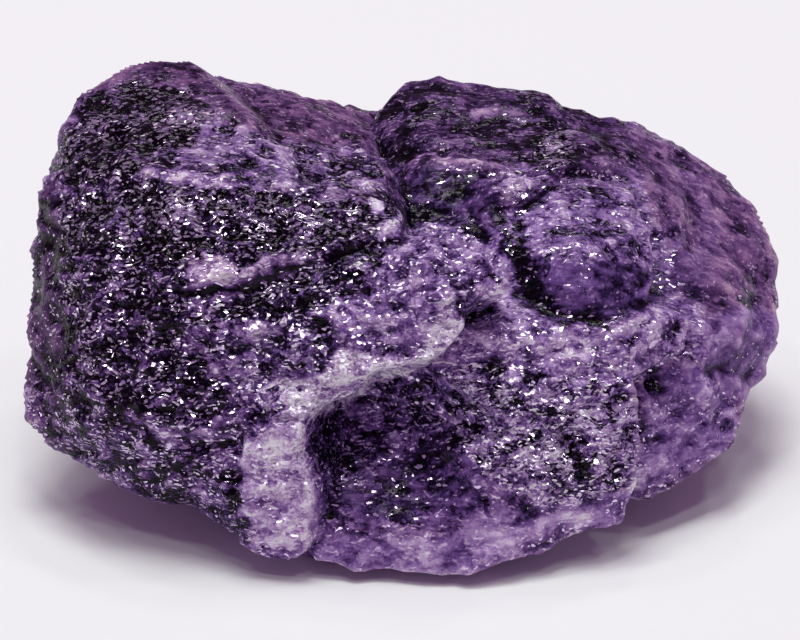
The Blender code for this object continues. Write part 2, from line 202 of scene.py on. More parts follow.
@dataclass(frozen=True)
class Wobble:
    """Smooth noise of one size that moves places by up to far in each direction."""

    size: float
    far: float
    salt: Salt

    def move(self, points: np.ndarray) -> np.ndarray:
        """Far times the noise, which has a set of numbers for each direction."""
        return self.far * np.stack([smooth_noise(points, self.size, self.salt + k) for k in range(3)], 1)


@dataclass(frozen=True)
class Mottling:
    """A value away from all patches: a middle one, and smooth noise of one size about it."""

    middle: float
    swing: float
    size: float
    salt: Salt

    def spread(self, points: np.ndarray) -> np.ndarray:
        """Middle plus swing times the noise."""
        return self.middle + self.swing * smooth_noise(points, self.size, self.salt)


@dataclass(frozen=True)
class Eye:
    """Where the show side is seen from; corners are given as (across, up, toward this eye)."""

    tilt: float = math.radians(30.0)
    distance: float = 180.0
    level: float = 8.9

    def back(self) -> np.ndarray:
        """The way from the stone to the eye."""
        return np.array([0.0, -math.cos(self.tilt), math.sin(self.tilt)])

    def to_world(self, points: np.ndarray) -> np.ndarray:
        """Turn places as the eye sees them into world places.

        Near places count for less: across and up are scaled by (distance - toward) / distance, and
        the up-toward plane is turned by the tilt.

        Args:
            points: rows of across, up and toward.

        Returns:
            Rows of x, y and z.
        """
        p = np.asarray(points, float).reshape(-1, 3)
        shrink = (self.distance - p[:, 2]) / self.distance
        across, up, toward = p[:, 0] * shrink, p[:, 1] * shrink, p[:, 2]
        y = up * math.sin(self.tilt) - toward * math.cos(self.tilt)
        z = up * math.cos(self.tilt) + toward * math.sin(self.tilt) + self.level
        return np.stack([across, y, z], 1)

    def from_world(self, points: np.ndarray) -> np.ndarray:
        """Turn world places into places as the eye sees them, by the same steps backwards.

        Args:
            points: rows of x, y and z.

        Returns:
            Rows of across, up and toward.
        """
        y, z = points[:, 1], points[:, 2] - self.level
        toward = z * math.sin(self.tilt) - y * math.cos(self.tilt)
        up = z * math.cos(self.tilt) + y * math.sin(self.tilt)
        shrink = (self.distance - toward) / self.distance
        return np.stack([points[:, 0] / shrink, up / shrink, toward], 1)


EYE = Eye()


class Core(Enum):
    """Half-width of the core at the heart that backs a block."""

    BROAD = 6.0
    OVERHANG = 3.5


class Side(Enum):
    """How a block's corners are given."""

    SEEN = "across, up, toward the eye"
    BACK = "plain x, y, z"


@dataclass(frozen=True)
class Block:
    """One convex lump: the hull of its corners and of the core at the heart."""

    name: str
    corners: list[tuple[float, float, float]]
    softness: float = 0.12
    core: Core = Core.BROAD
    side: Side = Side.SEEN

    def planes(self, heart: np.ndarray) -> tuple[np.ndarray, np.ndarray]:
        """Work out the hull's faces.

        A face of no area is left out, and faces that share a plane count once.

        Args:
            heart: the point that all blocks share.

        Returns:
            Outward normals and their offsets, one row for each distinct face.
        """
        corners = np.array(self.corners, float)
        if self.side is Side.SEEN:
            corners = EYE.to_world(corners)
        tips = heart + self.core.value * np.concatenate([np.eye(3), -np.eye(3)])
        points = np.concatenate([corners, tips])
        bm = bmesh.new()
        for point in points:
            bm.verts.new(point)
        bmesh.ops.convex_hull(bm, input=bm.verts)
        middle = points.mean(0)
        planes = {}
        for face in bm.faces:
            normal = np.array(face.normal)
            offset = normal @ np.array(face.verts[0].co)
            if normal @ middle > offset:
                normal, offset = -normal, -offset
            if np.linalg.norm(normal) > LEAST_NORMAL:
                planes[tuple(np.round([*normal, offset], 4))] = (normal, offset)
        bm.free()
        return np.array([n for n, _ in planes.values()]), np.array([h for _, h in planes.values()])


@dataclass(frozen=True)
class Bowl:
    """A hollow sunk along the rays: depth times (1 - squared distance in half-widths) to a power."""

    name: str
    middle: tuple[float, float, float]
    half: tuple[float, float, float]
    depth: float
    power: float

    def sink(self, seen: np.ndarray) -> np.ndarray:
        """How far the surface is sunk at each place that the eye sees."""
        inside = 1 - (((seen - self.middle) / self.half) ** 2).sum(1)
        return self.depth * np.clip(inside, 0, 1) ** self.power


@dataclass(frozen=True)
class Line:
    """A line of straight stretches across the show side, as (across, up)."""

    name: str
    points: list[tuple[float, float]]

    def offsets(self, seen: np.ndarray) -> tuple[np.ndarray, np.ndarray]:
        """Measure places against the line.

        For the nearest stretch, the cross product with its direction gives the signed distance
        (positive on its left), and the overshoot past its ends is kept apart.

        Args:
            seen: places as the eye sees them.

        Returns:
            Signed distance across the line, and distance beyond its ends.
        """
        place = seen[:, :2]
        nearest = np.full(len(place), np.inf)
        side = np.zeros(len(place))
        beyond = np.zeros(len(place))
        for start, end in zip(np.array(self.points[:-1], float), np.array(self.points[1:], float)):
            length = np.hypot(*(end - start))
            way = (end - start) / length
            offset = place - start
            along = offset @ way
            kept = np.clip(along, 0, length)
            gap = np.linalg.norm(offset - kept[:, None] * way, axis=1)
            closer = gap < nearest
            nearest = np.where(closer, gap, nearest)
            side = np.where(closer, way[0] * offset[:, 1] - way[1] * offset[:, 0], side)
            beyond = np.where(closer, np.abs(along - kept), beyond)
        return side, beyond


@dataclass(frozen=True)
class Ledge(Line):
    """A step across the show side, proud on the line's left and sunk on its right."""

    rise: float
    width: float

    def lift(self, seen: np.ndarray) -> np.ndarray:
        """Work out the step's height: rise times x times exp((1 - x squared) / 2), for x in widths.

        Args:
            seen: places as the eye sees them.

        Returns:
            Height to add at each place.
        """
        side, beyond = self.offsets(seen)
        side, beyond = side / self.width, beyond / self.width
        return self.rise * side * np.exp(0.5 - 0.5 * side**2 - 0.5 * beyond**2)


@dataclass(frozen=True)
class Patch:
    """A many-cornered patch of the show side with its own tone, glitter and stain.

    tone runs from 0, black violet, to 1, white; glitter is the share of bright grains; stain is how
    brown it is. soft is how far its edge fades to each side.
    """

    name: str
    corners: list[tuple[float, float]]
    tone: float
    glitter: float
    stain: float = 0.0
    soft: float = 0.25

    def share(self, seen: np.ndarray) -> np.ndarray:
        """Work out how far each place is inside.

        The sign is that of an odd or even number of sides crossed by a level line from the place,
        and the distance is the least to any side.

        Args:
            seen: places as the eye sees them.

        Returns:
            1 inside, easing to 0 outside.
        """
        x, y = seen[:, 0], seen[:, 1]
        nearest = np.full(len(seen), np.inf)
        inside = np.zeros(len(seen), bool)
        for (x0, y0), (x1, y1) in zip(self.corners, self.corners[1:] + self.corners[:1]):
            dx, dy = x1 - x0, y1 - y0
            along = np.clip(((x - x0) * dx + (y - y0) * dy) / (dx * dx + dy * dy), 0, 1)
            nearest = np.minimum(nearest, np.hypot(x - x0 - along * dx, y - y0 - along * dy))
            if dy:
                inside ^= ((y0 > y) != (y1 > y)) & (x < x0 + (y - y0) * dx / dy)
        depth = np.where(inside, nearest, -nearest) / self.soft
        share = np.clip(0.5 + 0.5 * depth, 0, 1)
        return share * share * (3 - 2 * share)


@dataclass(frozen=True)
class Rim(Line):
    """A pale or dark band along a line: it counts as exp(-(distance in widths) squared)."""

    width: float
    tone: float
    glitter: float = 0.0

    def share(self, seen: np.ndarray) -> np.ndarray:
        """How strongly each place belongs to the band."""
        side, beyond = self.offsets(seen)
        return np.exp(-(side / self.width) ** 2 - (beyond / self.width) ** 2)


BLOCKS = [
    Block("left_top", [
        (-15.5, 11.7, -3), (-13.8, 12.8, -3), (-10.2, 13, -4), (-16.5, 10.7, -2), (-17.3, 9.1, -1.5),
        (-18.1, 6.2, -1), (-8.9, 11.9, -4.5), (-16.6, 7.4, 1.5), (-13.2, 7.4, 4.5), (-10, 9.2, 2),
        (-5, 6.8, 5.5), (-7.5, 10.4, -1)]),
    Block("top_shelf", [
        (-10, 9.4, 1.8), (-13.2, 7.4, 4.5), (-5, 6.8, 5.5), (-1, 6.5, 4.2), (-4, 9.3, -0.5), (-1, 8, 0.5),
        (-8, 10, 0)]),
    Block("back_ridge", [
        (-8, 11.8, -5), (-6, 11.2, -5.5), (-5, 11, -5.5), (-2.5, 10.8, -6.5), (-1.4, 10.3, -7),
        (-4, 9.4, -1.5), (-1, 8.8, -2.5), (-8, 10.3, -1.5), (-9.5, 12.4, -5)]),
    Block("left_front", [
        (-18.1, 7, 0), (-16.9, 7.4, 1.2), (-13.2, 7.4, 4.5), (-5, 6.8, 5.5), (-1, 6.5, 4.2),
        (-18.6, 3.8, -0.5), (-18.9, 1.5, 0), (-18.8, 0, 0.2), (-18.8, -1.5, 0.5), (-16, 3, 4.2),
        (-15.5, -3.5, 5.2), (-11, 1.5, 6.6), (-5, 2.9, 7.2), (-3, 3.5, 7), (0, 4.5, 6.4), (-12, -5.6, 5.8),
        (-8.2, -5.4, 6.2), (-17.5, -3.5, 3)]),
    Block("left_low", [
        (-18.5, -0.5, 0), (-18.9, -2.2, 0.1), (-19.1, -3.2, 0.2), (-19, -4.2, 0.4), (-18, -6, 0.8),
        (-16, -7.4, 1.5), (-14.5, -8.2, 2), (-13, -8.8, 2.5), (-10.5, -9.6, 3.2), (-8, -10.8, 4),
        (-15.5, -4.2, 5), (-12, -5.9, 5.6), (-8.2, -5.7, 6.2), (-8, -9.5, 5.4), (-12, -8, 4.4),
        (-16.5, -5.5, 3.4)]),
    Block("column", [
        (-8, -5.4, 6.6), (-4.8, -5.3, 7), (-4.5, -8.5, 6.5), (-4.3, -11.6, 5.1), (-5.2, -12.1, 4.8),
        (-6.9, -11.9, 4.6), (-8, -9.5, 5.6), (-8.2, -11, 4.4)], core=Core.OVERHANG),
    Block("front_step", [
        (-11, 1.3, 6.4), (-8, 1.6, 6.8), (-5, 2.8, 6.9), (-3, 3.4, 7), (0, 4, 7), (1.2, 2, 7.9),
        (1.4, -1.9, 8), (0, -2.7, 8), (-1.5, -2.8, 7.9), (-8.2, -3, 6.5),
        (-10, -2, 6.4)], core=Core.OVERHANG),
    Block("tip", [
        (-4, 3.4, 7), (0, 4.6, 6.6), (1, 4.7, 6.8), (2.5, 4.4, 7.4), (4.3, 3.5, 7.6), (5.3, 2.4, 7.6),
        (5.9, 1.4, 7.4), (5.1, 0.9, 7.5), (3.2, 0.9, 8.3), (-2, 0.9, 7.6), (2.5, 2.6, 8.6),
        (-2.5, 2.6, 7.4)], 0.25, Core.OVERHANG),
    Block("rim_mid", [
        (3.3, 1.6, 8.3), (3.4, -0.4, 8.2), (2.3, -1.4, 8.2), (1.5, -2.1, 8), (-1, -1, 7.8), (-1, 1.5, 7.7),
        (2, 1.6, 8.4)], core=Core.OVERHANG),
    Block("rim_low", [
        (-1.6, -2.5, 7.8), (-2, -3.8, 7.6), (-3.5, -4.3, 7.4), (-4.7, -5, 7.2), (-8.2, -5.2, 6.4),
        (-8, -1.5, 6.4), (-3, -1.5, 7.4)], core=Core.OVERHANG),
    Block("recess", [
        (-4.7, -11.4, 4.2), (-4.6, -12.2, 4.4), (-3.5, -12.5, 4.4), (0, -12.7, 4.8), (2, -12.8, 5.2),
        (5, -12.3, 5.2), (6.4, -11.3, 5.2), (7.4, -10.5, 5), (9.5, -10.2, 4.4), (11.6, -10.2, 3.6),
        (-4.6, -6, 3.6), (-2.5, -3.8, 4.2), (3, -3, 6), (8, -3.2, 6.4), (12, -3.2, 5.4), (12.3, -6, 5),
        (12.4, -8.7, 4.2), (4, -7, 5.2), (9, -8, 5.5)]),
    Block("middle", [
        (3.2, -0.2, 6), (3.5, 0.5, 5.6), (6, 0.2, 5.8), (8, -0.1, 6.2), (10.5, -0.2, 5.8), (13, 0.5, 4.4),
        (15, 0.2, 2.6), (14.5, -1.5, 3), (11.8, -3, 5.2), (8, -3.5, 6.2), (3, -3.2, 5.8),
        (1, -2.8, 5.4)], 0.25),
    Block("pillow", [
        (5, 6, 2.4), (7.2, 6.8, 2), (10, 7.3, 0.4), (12.2, 6.5, 0.4), (13.3, 4.5, 1.8), (13.6, 2.8, 2.9),
        (13.4, 1.4, 3.6), (12.5, 0.5, 4.4), (10.6, -0.1, 5.4), (8, 0.1, 5.4), (6.3, 1, 4.8),
        (4.5, 3.5, 3.6), (9, 4.6, 4.4), (9.6, 2.4, 6), (12, 3.6, 4.2)], 0.45),
    Block("dark_cheek", [
        (0.5, 6.4, 1), (1, 7.2, 0.6), (4.6, 7.4, 1.2), (5.2, 6, 2.4), (4, 4.4, 3), (1, 4.9, 2.2),
        (7, 3, 3)], 0.35),
    Block("pale_chip", [(4.7, 7.2, 1.7), (7.2, 7.4, 1.5), (7.7, 6.9, 2), (6.3, 6.3, 2.6), (5, 6.5, 2.4)]),
    Block("top_ridge", [
        (-1.1, 10.6, -5), (-0.2, 11.6, -5.5), (0.9, 12.2, -6), (3.5, 12.2, -6), (5.2, 11.8, -6.5),
        (7.4, 11.1, -6.5), (9, 10.8, -6.5), (10.6, 10, -7), (0.5, 7.2, 0), (2, 7.9, 0.2), (4, 7.7, 0.8),
        (7, 7.9, 0.5), (10, 8, -0.2), (11.6, 7.6, -1.4)], 0.2),
    Block("far_right", [
        (10.6, 10.2, -6), (12.5, 10, -7), (13.6, 9.2, -7), (14.8, 8.5, -7.5), (16.3, 7.5, -7.5),
        (17.4, 6.8, -7.5), (18.2, 6, -7.5), (18.9, 4.4, -6.5), (19.6, 3, -5), (19.5, 1.6, -4.4),
        (19.4, 0.2, -4), (11.6, 7.6, -1), (13, 6.2, -0.6), (14, 4, 0.2), (14.6, 2, 0.6),
        (16.8, 1.2, -0.2)], 0.3),
    Block("right_bump", [
        (14.8, 0.4, 1.4), (19.4, 1.5, -3.6), (19.5, 0.8, -3), (19.4, -1.2, -2.2), (18.8, -3.2, -2),
        (17.4, -4.3, -0.8), (15.2, -2.5, 1.6), (14.7, -1, 2), (17, -0.5, 0.8)], 0.4),
    Block("low_right", [
        (11.8, -2.3, 3.4), (14.5, -2, 2.2), (17.8, -3.7, -0.8), (17.3, -4.6, 0.2), (17.3, -5.2, 0.2),
        (16.3, -7.1, 0.6), (14.4, -8.4, 1.2), (12.6, -9.3, 2.2), (12, -6, 3.6)], 0.25),
    Block("back_left", [
        (-14.5, 8.6, 17.6), (-10.5, 9.8, 17.2), (-17.2, 6.6, 15.4), (-18, 5, 13.6), (-18.5, 2.4, 10.4),
        (-17.8, 0, 5.8), (-15.3, 0.5, 3.2), (-16, 8.2, 11), (-13, 10.8, 9), (-8, 12.4, 12), (-9, 11.4, 5),
        (-12, 6.5, 2.4), (-5, 11.7, 14.6), (-6, 9.8, 2)], 0.15, side=Side.BACK),
    Block("back_mid", [
        (-2.2, 11.3, 14.8), (1, 11.4, 15.8), (6, 11.4, 15), (10, 11.4, 13.6), (-3.5, 12.9, 10),
        (3, 13.7, 10.5), (8, 13.2, 9), (10.5, 11.5, 5.5), (4, 12.2, 4), (-3, 11.7, 4), (0, 9.4, 1),
        (7, 9.4, 2)], 0.15, side=Side.BACK),
    Block("back_right", [
        (9, 11.2, 13.4), (13, 11, 12), (16.4, 9.8, 10.4), (18, 7.5, 9), (18.8, 4, 6.8), (15, 11, 8),
        (10, 12.4, 7.5), (16, 8, 4.8), (12, 9.6, 3.2), (14, 3.5, 2.4),
        (17.4, 3, 4.6)], 0.2, side=Side.BACK),
    Block("belly", [
        (-14.8, 3, 4.8), (-14, -3.5, 4.6), (-10, -7, 3.2), (-9, 4, 0.7), (-7, -3, -0.1), (-6, -7, -0.1),
        (-2.5, -9, -0.2), (3.5, -9.4, -0.2), (7, -5, -0.1), (8, 1, 0.2), (14.2, -2, 4.2), (13, 7, 4),
        (4, 11.6, 4), (-7, 11, 4), (5, 6, -0.1), (-5, 6, -0.1), (0, 0, -0.5)], 0.15, side=Side.BACK),
]

BOWLS = [
    Bowl("under the broken lip", (-0.4, -6, 5), (5, 4, 5), 2.3, 1),
    Bowl("glittering field", (7, -7.2, 5.5), (5, 3, 5), 0.5, 2),
    Bowl("narrow hole", (-4, -6.4, 5), (0.8, 2.1, 4), 2, 0.7),
    Bowl("pocket", (4.3, 0.5, 6), (0.8, 0.8, 4), 1.4, 0.7),
    Bowl("side hole", (12.8, -3.1, 3.5), (0.7, 1, 4), 1.6, 0.7),
    Bowl("top shelf", (-4, 7.6, 1.5), (3, 1, 4), 0.5, 1.5),
    Bowl("cheek", (2.4, 6, 1.5), (2.2, 1.2, 4), 0.4, 1.5),
    Bowl("top ridge", (6, 9.6, -3), (3.5, 0.8, 4), 0.5, 1.5),
    Bowl("far side", (15, 4.5, -3), (1.6, 2.2, 4), 0.5, 1.5),
]

LEDGES = [
    Ledge("across the front", [(-11, 1.5), (-7.5, 1.9), (-5, 2.9), (0, 4.3), (0.5, 5.3)], 0.22, 0.45),
    Ledge("over the low left", [(-13.5, -4.5), (-11.8, -5.5), (-10, -5.85), (-8.2, -5.5)], 0.25, 0.5),
    Ledge("high on the left front", [(-17, 4.6), (-14.6, 4), (-11.5, 4.4), (-8.5, 5)], 0.12, 0.4),
    Ledge("low on the left front", [(-15.5, -1), (-12, -0.2), (-9.4, -1.2), (-6, -0.6)], 0.12, 0.4),
    Ledge("between cheek and pillow", [(4, 5.2), (4.6, 3.8), (5.1, 2.4)], 0.15, 0.3),
    Ledge("foot of the top ridge", [(-0.8, 8.9), (2.5, 8.5), (5.5, 9), (9.5, 8.6)], 0.2, 0.4),
    Ledge("crown of the top ridge", [(0.5, 10.4), (3.2, 10.2), (7, 10.6)], 0.2, 0.4),
    Ledge("upper left face", [(-14.5, 9.4), (-11.5, 9), (-8, 10.2)], 0.15, 0.4),
    Ledge("back ridge", [(-6.5, 10.2), (-4, 9.9), (-2, 10)], 0.2, 0.5),
    Ledge("right of the pillow", [(13.6, 5.2), (14.8, 3), (15.6, 1.6)], 0.15, 0.4),
    Ledge("low right", [(15, -3.2), (14.2, -5), (13.2, -6.6)], 0.12, 0.4),
]

PATCHES = [
    Patch("left front", [
        (-18.4, 6), (-11, 6), (-10.5, 2.9), (-10.4, 1), (-8.5, -0.5), (-8.25, -3.5), (-10, -5.6),
        (-13.5, -4.5), (-15.5, -5.5), (-17, -5.5), (-18, -3), (-18.6, 1)], 0.1, 0.4, 0.15, 0.3),
    Patch("left margin", [
        (-18, 6.5), (-16.9, 7), (-16.7, 4.5), (-17, 1), (-16.6, -2), (-16.9, -5), (-18.5, -4), (-19.1, -3),
        (-18.7, 1)], 0.2, 0.1, 0.55, 0.5),
    Patch("upper left face", [
        (-16.9, 9), (-15.5, 11.2), (-13.5, 11.7), (-10.6, 11.4), (-9.25, 10.4), (-10, 9.25), (-12.5, 7.9),
        (-13.25, 7.3), (-15.5, 6.9), (-17.1, 6.9)], 0, 0.5, 0.3),
    Patch("plateau", [
        (-15.5, 11.2), (-15, 12.4), (-13.75, 13.1), (-10.4, 13.1), (-9.4, 12.2), (-10.5, 11.4),
        (-13.5, 11.7)], 0.24, 0.1, 0.6, 0.3),
    Patch("back ridge", [
        (-9.75, 12.4), (-8.25, 12), (-6.25, 11.5), (-5, 11.4), (-2.5, 11), (-1.35, 10.5), (-1.3, 8.4),
        (-2.5, 8.65), (-4.5, 8.95), (-7, 9.5), (-9.25, 10.4), (-10.4, 11.5)], 0.33, 0.15, 0.6, 0.4),
    Patch("wedge", [
        (-13.25, 7.35), (-11.25, 8.4), (-9.25, 10.3), (-7.5, 9.5), (-4.5, 8.9), (-2.5, 8.6), (-0.6, 7.75),
        (-0.7, 6.4), (-3.5, 6.5), (-5, 6.3), (-6.9, 6.3), (-8, 6.7), (-9.75, 7),
        (-11.25, 7.1)], 0.34, 0.4, 0.1, 0.15),
    Patch("shelf shade", [
        (-7.5, 9), (-5, 8.5), (-1.4, 8), (-0.8, 6.6), (-3.5, 6.7), (-5, 7.2),
        (-6.9, 8)], 0.31, 0.5, 0.1, 0.3),
    Patch("front shade", [
        (-17, 6), (-13.25, 7.2), (-8, 6.6), (-5, 6.2), (-0.7, 6.3), (0.1, 5.3), (-0.8, 4.1), (-3.5, 3.2),
        (-5, 2.9), (-7.25, 2.9), (-9.75, 3.3), (-13.5, 3.5), (-16.5, 4)], 0.03, 0.6, 0.1),
    Patch("pale patch", [
        (-10.6, 2.8), (-9.75, 3.25), (-8.75, 3.1), (-7.75, 2.5), (-7.25, 2.9), (-6.25, 3.2), (-4.9, 3.45),
        (-5, 2.9), (-6.5, 2.35), (-8, 1.7), (-10, 1.4), (-10.6, 2)], 0.6, 0.45, 0.2, 0.12),
    Patch("under the ledge", [
        (-8, 1.4), (-5, 2.5), (-0.25, 4), (-1, 2.9), (-2.75, 1.4), (-4.1, 0.1), (-6, -0.5), (-8.5, -0.5),
        (-9.75, 0.75)], 0.2, 0.55),
    Patch("striated front", [
        (-8.5, -0.5), (-6, -0.5), (-4.1, 0.1), (-3.25, -1.25), (-4.1, -2.6), (-6.5, -3.1), (-7.25, -4.1),
        (-8, -4)], 0.36, 0.45, 0, 0.35),
    Patch("lobe", [
        (-0.75, 3.75), (0.1, 4.6), (1.5, 5.15), (3, 4.7), (4.5, 4.1), (5.5, 2.9), (5.8, 1.7), (5.25, 0.7),
        (4, 1), (2.9, 1), (2.75, -0.1), (1.5, -1.25), (0, -1.75), (-1.5, -1.6), (-3.25, -1.25), (-4.1, 0.1),
        (-2.75, 1.4), (-1, 2.9)], 0.46, 0.36, 0, 0.15),
    Patch("white rim", [
        (2, 0.75), (3, 1), (3.3, -0.25), (2.35, -1.35), (2, -2), (1, -2.3), (0, -2.9), (-1.4, -3.05),
        (-1.9, -3.9), (-3.4, -4.45), (-4.5, -4.95), (-5.2, -5.5), (-6.6, -5.5), (-7.25, -4.1), (-6.5, -3.1),
        (-4.1, -2.7), (-3.25, -1.6), (-1.4, -1.8), (0.5, -1.8), (1.5, -0.9)], 0.86, 0.7, 0, 0.15),
    Patch("low left", [
        (-17, -5.5), (-15.5, -5.5), (-13.5, -4.55), (-11.75, -5.6), (-10, -5.9), (-8, -5.5), (-7.7, -8),
        (-6.9, -11.4), (-8.5, -11.25), (-10.5, -10), (-12.5, -8.75), (-14.25, -8.5),
        (-16.25, -7.5)], 0.2, 0.4, 0.05, 0.2),
    Patch("low left rim", [
        (-19.25, -2.75), (-17.75, -3), (-17, -5), (-16.7, -6.5), (-18.25, -5.5),
        (-19.25, -4.5)], 0.3, 0.35, 0.3, 0.3),
    Patch("column side", [
        (-8.2, -5.5), (-7, -5.4), (-5.2, -8), (-4.7, -11.4), (-6, -11.7), (-7.3, -11.2),
        (-8, -9)], 0.52, 0.3, 0, 0.3),
    Patch("column", [
        (-7.3, -5.5), (-5, -5.4), (-4.75, -7.5), (-4.5, -9), (-4.6, -10.6), (-5.3, -11.3), (-6.1, -10.6),
        (-5.9, -9.5), (-7, -9), (-7.6, -7.7), (-7, -6.8)], 0.74, 0.4, 0, 0.2),
    Patch("foot left", [
        (-6.9, -11.3), (-4.5, -11.4), (-2.75, -12.3), (-3, -13), (-5, -12.75)], 0.32, 0.15, 0, 0.2),
    Patch("hollow", [
        (-4.8, -5), (-3.4, -4.45), (-1.9, -3.9), (-1.4, -3.1), (0, -2.95), (2, -2.3), (3.75, -2.1),
        (3.75, -4), (2.5, -5.5), (2, -7.5), (1.5, -9), (-1, -9.4), (-3.5, -9.25),
        (-4.6, -8.5)], 0.24, 0.3, 0, 0.2),
    Patch("deep violet", [
        (-1.25, -6.5), (3.25, -5), (4.5, -7.5), (4.25, -9.6), (1.5, -10.1), (-1.5, -10), (-4.1, -9.6),
        (-3.5, -8.5), (-1, -8)], 0.24, 0.14, 0, 0.3),
    Patch("glitter field", [
        (2.3, -2.3), (5, -2.1), (8, -2.5), (11.1, -2.9), (12.1, -5), (12.3, -8), (10, -9.1), (7, -9.4),
        (4.5, -8), (2.6, -5.5)], 0.39, 0.65),
    Patch("bright grains", [
        (6.3, -5.3), (8.2, -5), (8.9, -6.4), (8.4, -8.1), (6.9, -8.3), (6.1, -6.9)], 0.46, 0.95, 0, 0.4),
    Patch("bright row", [
        (3, -3.2), (5.6, -3.4), (6.8, -4.4), (6.2, -5), (4.6, -4.6), (3.1, -4.2)], 0.38, 0.9, 0, 0.3),
    Patch("foot of the hollow", [
        (-4.6, -11.5), (-3, -10.9), (-0.75, -10.4), (1.5, -10.9), (4, -9.9), (7, -9.4), (10, -9),
        (12.4, -8.4), (12, -10.5), (7, -10.6), (6, -11.4), (3.5, -12.5), (1.5, -13), (-1, -12.9),
        (-3.5, -12.6)], 0.49, 0.15, 0, 0.2),
    Patch("top ridge", [
        (-1.3, 10.25), (0, 11.6), (0.9, 12.5), (3.5, 12.5), (6, 11.9), (7.5, 11.3), (9.6, 10.9),
        (11.4, 9.6), (11.85, 8), (11.1, 6.7), (9.5, 6.7), (8, 7.2), (6, 7.75), (4.5, 7.7), (2, 7.4),
        (0.5, 7.5), (-0.75, 8.25)], 0.16, 0.15, 0.4),
    Patch("ridge sparkle", [(7, 9.4), (8.6, 9.6), (9, 8), (7.75, 7.6), (7, 8.25)], 0.17, 0.9, 0.1),
    Patch("cheek", [
        (0.1, 6.5), (1.5, 7.3), (4.1, 7.3), (5, 6.7), (5, 5.2), (4, 4.6), (2, 4.7),
        (0.4, 5.3)], 0.17, 0.05, 0.1, 0.15),
    Patch("pillow crown", [
        (4.9, 4.25), (5.25, 5.25), (7, 6.3), (9.5, 6.6), (12.1, 5.8), (13.35, 4.25), (13.5, 2.8),
        (11.5, 2.9), (9, 3.1), (6, 3.4)], 0.34, 0.3),
    Patch("pillow front", [
        (4.9, 4.25), (6, 3.4), (9, 3.1), (11.5, 2.9), (13.5, 2.8), (13.35, 1.4), (12.1, 0.3), (10, -0.2),
        (8, 0), (6.4, 0.9), (5.2, 2.75)], 0.24, 0.05, 0, 0.3),
    Patch("far side", [
        (11.4, 9.6), (12.6, 9.7), (14.6, 8.4), (16.6, 6.9), (18.25, 5.6), (19.4, 2.9), (19.2, 0.4),
        (16.1, -0.1), (15, 0.9), (13.6, 1.4), (13.5, 4), (12.1, 5.9), (11.85, 8)], 0.38, 0.08, 0.5, 0.3),
    Patch("middle", [
        (3.3, -0.25), (4, -0.1), (5.6, 1), (7, 0.2), (8.25, -0.5), (10.6, -0.6), (12, 0.1), (13.4, 1.1),
        (15.1, 0.75), (15.25, -2.1), (12.1, -2.3), (12, -3.3), (8, -2.7), (5, -2.25), (2.3, -2.3),
        (2.35, -1.35)], 0.47, 0.34, 0, 0.15),
    Patch("far vein", [
        (14, 8.6), (15, 7.6), (15.6, 6.4), (15.9, 4.6), (15.2, 3), (15.4, 1.6), (14.4, 1.3), (14.2, 3.2),
        (15, 4.8), (14.6, 6.4), (13.6, 7.8)], 0.4, 0.12, 0.35, 0.35),
    Patch("far shade", [
        (13.6, 5), (14.2, 4.6), (14.1, 2.6), (15.2, 1.2), (14.6, 0.9), (13.5, 1.4),
        (13.5, 3)], 0.27, 0.1, 0.2),
    Patch("bump", [
        (15, -0.25), (17, 0.85), (19.25, 0.35), (19.1, -2.6), (17.6, -4.2), (16.75, -4.1),
        (15.3, -2.6)], 0.43, 0.04, 0.1, 0.2),
    Patch("low right", [
        (12.1, -3.4), (13, -2.3), (15.1, -2.5), (16.75, -4.1), (16.9, -5.6), (15.1, -7.4), (12.75, -8.7),
        (12, -8.6), (12.3, -5.5)], 0.45, 0.1, 0, 0.2),
    # Painted shade: the crease between the lobe and the pillow is painted nearly black, where shade falls.
    Patch("valley", [
        (-0.1, 6), (0.6, 5.75), (1.8, 5.4), (3.2, 5.1), (5, 4.4), (6.1, 3.5), (6.75, 2.25), (7.8, 1),
        (8.3, 0.2), (7.4, 0.1), (6.6, 1), (5.9, 1.8), (5.6, 2.7), (4.3, 3.7), (2.4, 4.55), (0.8, 5.1),
        (0.1, 5.3)], 0.05, 0.15, 0, 0.15),
    # Painted shade: the narrow hole, the pocket and the side hole are painted darker than the stone round
    # them.
    Patch("hole", [
        (-4.75, -5), (-3.6, -4.7), (-3.25, -6), (-3.5, -7.5), (-4.4, -7.85),
        (-4.8, -6.5)], 0.04, 0.2, 0, 0.15),
    Patch("pocket", [(2.8, 1.2), (4, 1.1), (4.1, 0), (3.2, -0.15)], 0.24, 0.5, 0, 0.12),
    Patch("side hole", [(12.05, -2.3), (13.2, -2.4), (13.1, -3.9), (12.3, -4.1)], 0.24, 0.1, 0, 0.12),
    Patch("white of the lobe", [
        (3.9, 1.9), (4.8, 2.2), (5.4, 1.5), (5, 0.9), (4.1, 1.1)], 0.86, 0.5, 0, 0.2),
    Patch("white of the edge", [
        (-1.25, 4.9), (0, 5.2), (0.6, 4.7), (-0.1, 4), (-1, 4.1)], 0.73, 0.5, 0, 0.15),
    Patch("pale chip", [
        (4.7, 7.1), (6, 7.7), (7.3, 7.4), (7, 6.5), (5.75, 5.95), (5, 6.4)], 0.46, 0.45, 0.1, 0.15),
    Patch("pale dot", [(5.1, 5.5), (5.8, 5.65), (5.9, 5.1), (5.3, 4.9)], 0.55, 0.3, 0, 0.12),
    Patch("crumbs", [(9.6, 7.1), (10.6, 7.3), (11.1, 6.8), (10, 6.6)], 0.05, 0.4, 0, 0.15),
    Patch("pillow chips", [(12.75, 3.4), (13.4, 3.5), (13.5, 1.1), (12.9, 1.3)], 0.32, 0.4, 0, 0.12),
    Patch("middle white", [
        (7.8, -1.1), (8.75, -0.6), (10, -1.25), (9.6, -2.1), (8.25, -2)], 0.72, 0.35, 0, 0.15),
    Patch("middle right white", [(11.2, -0.5), (12.4, -0.1), (13, -0.8), (12, -1.3)], 0.65, 0.4, 0, 0.15),
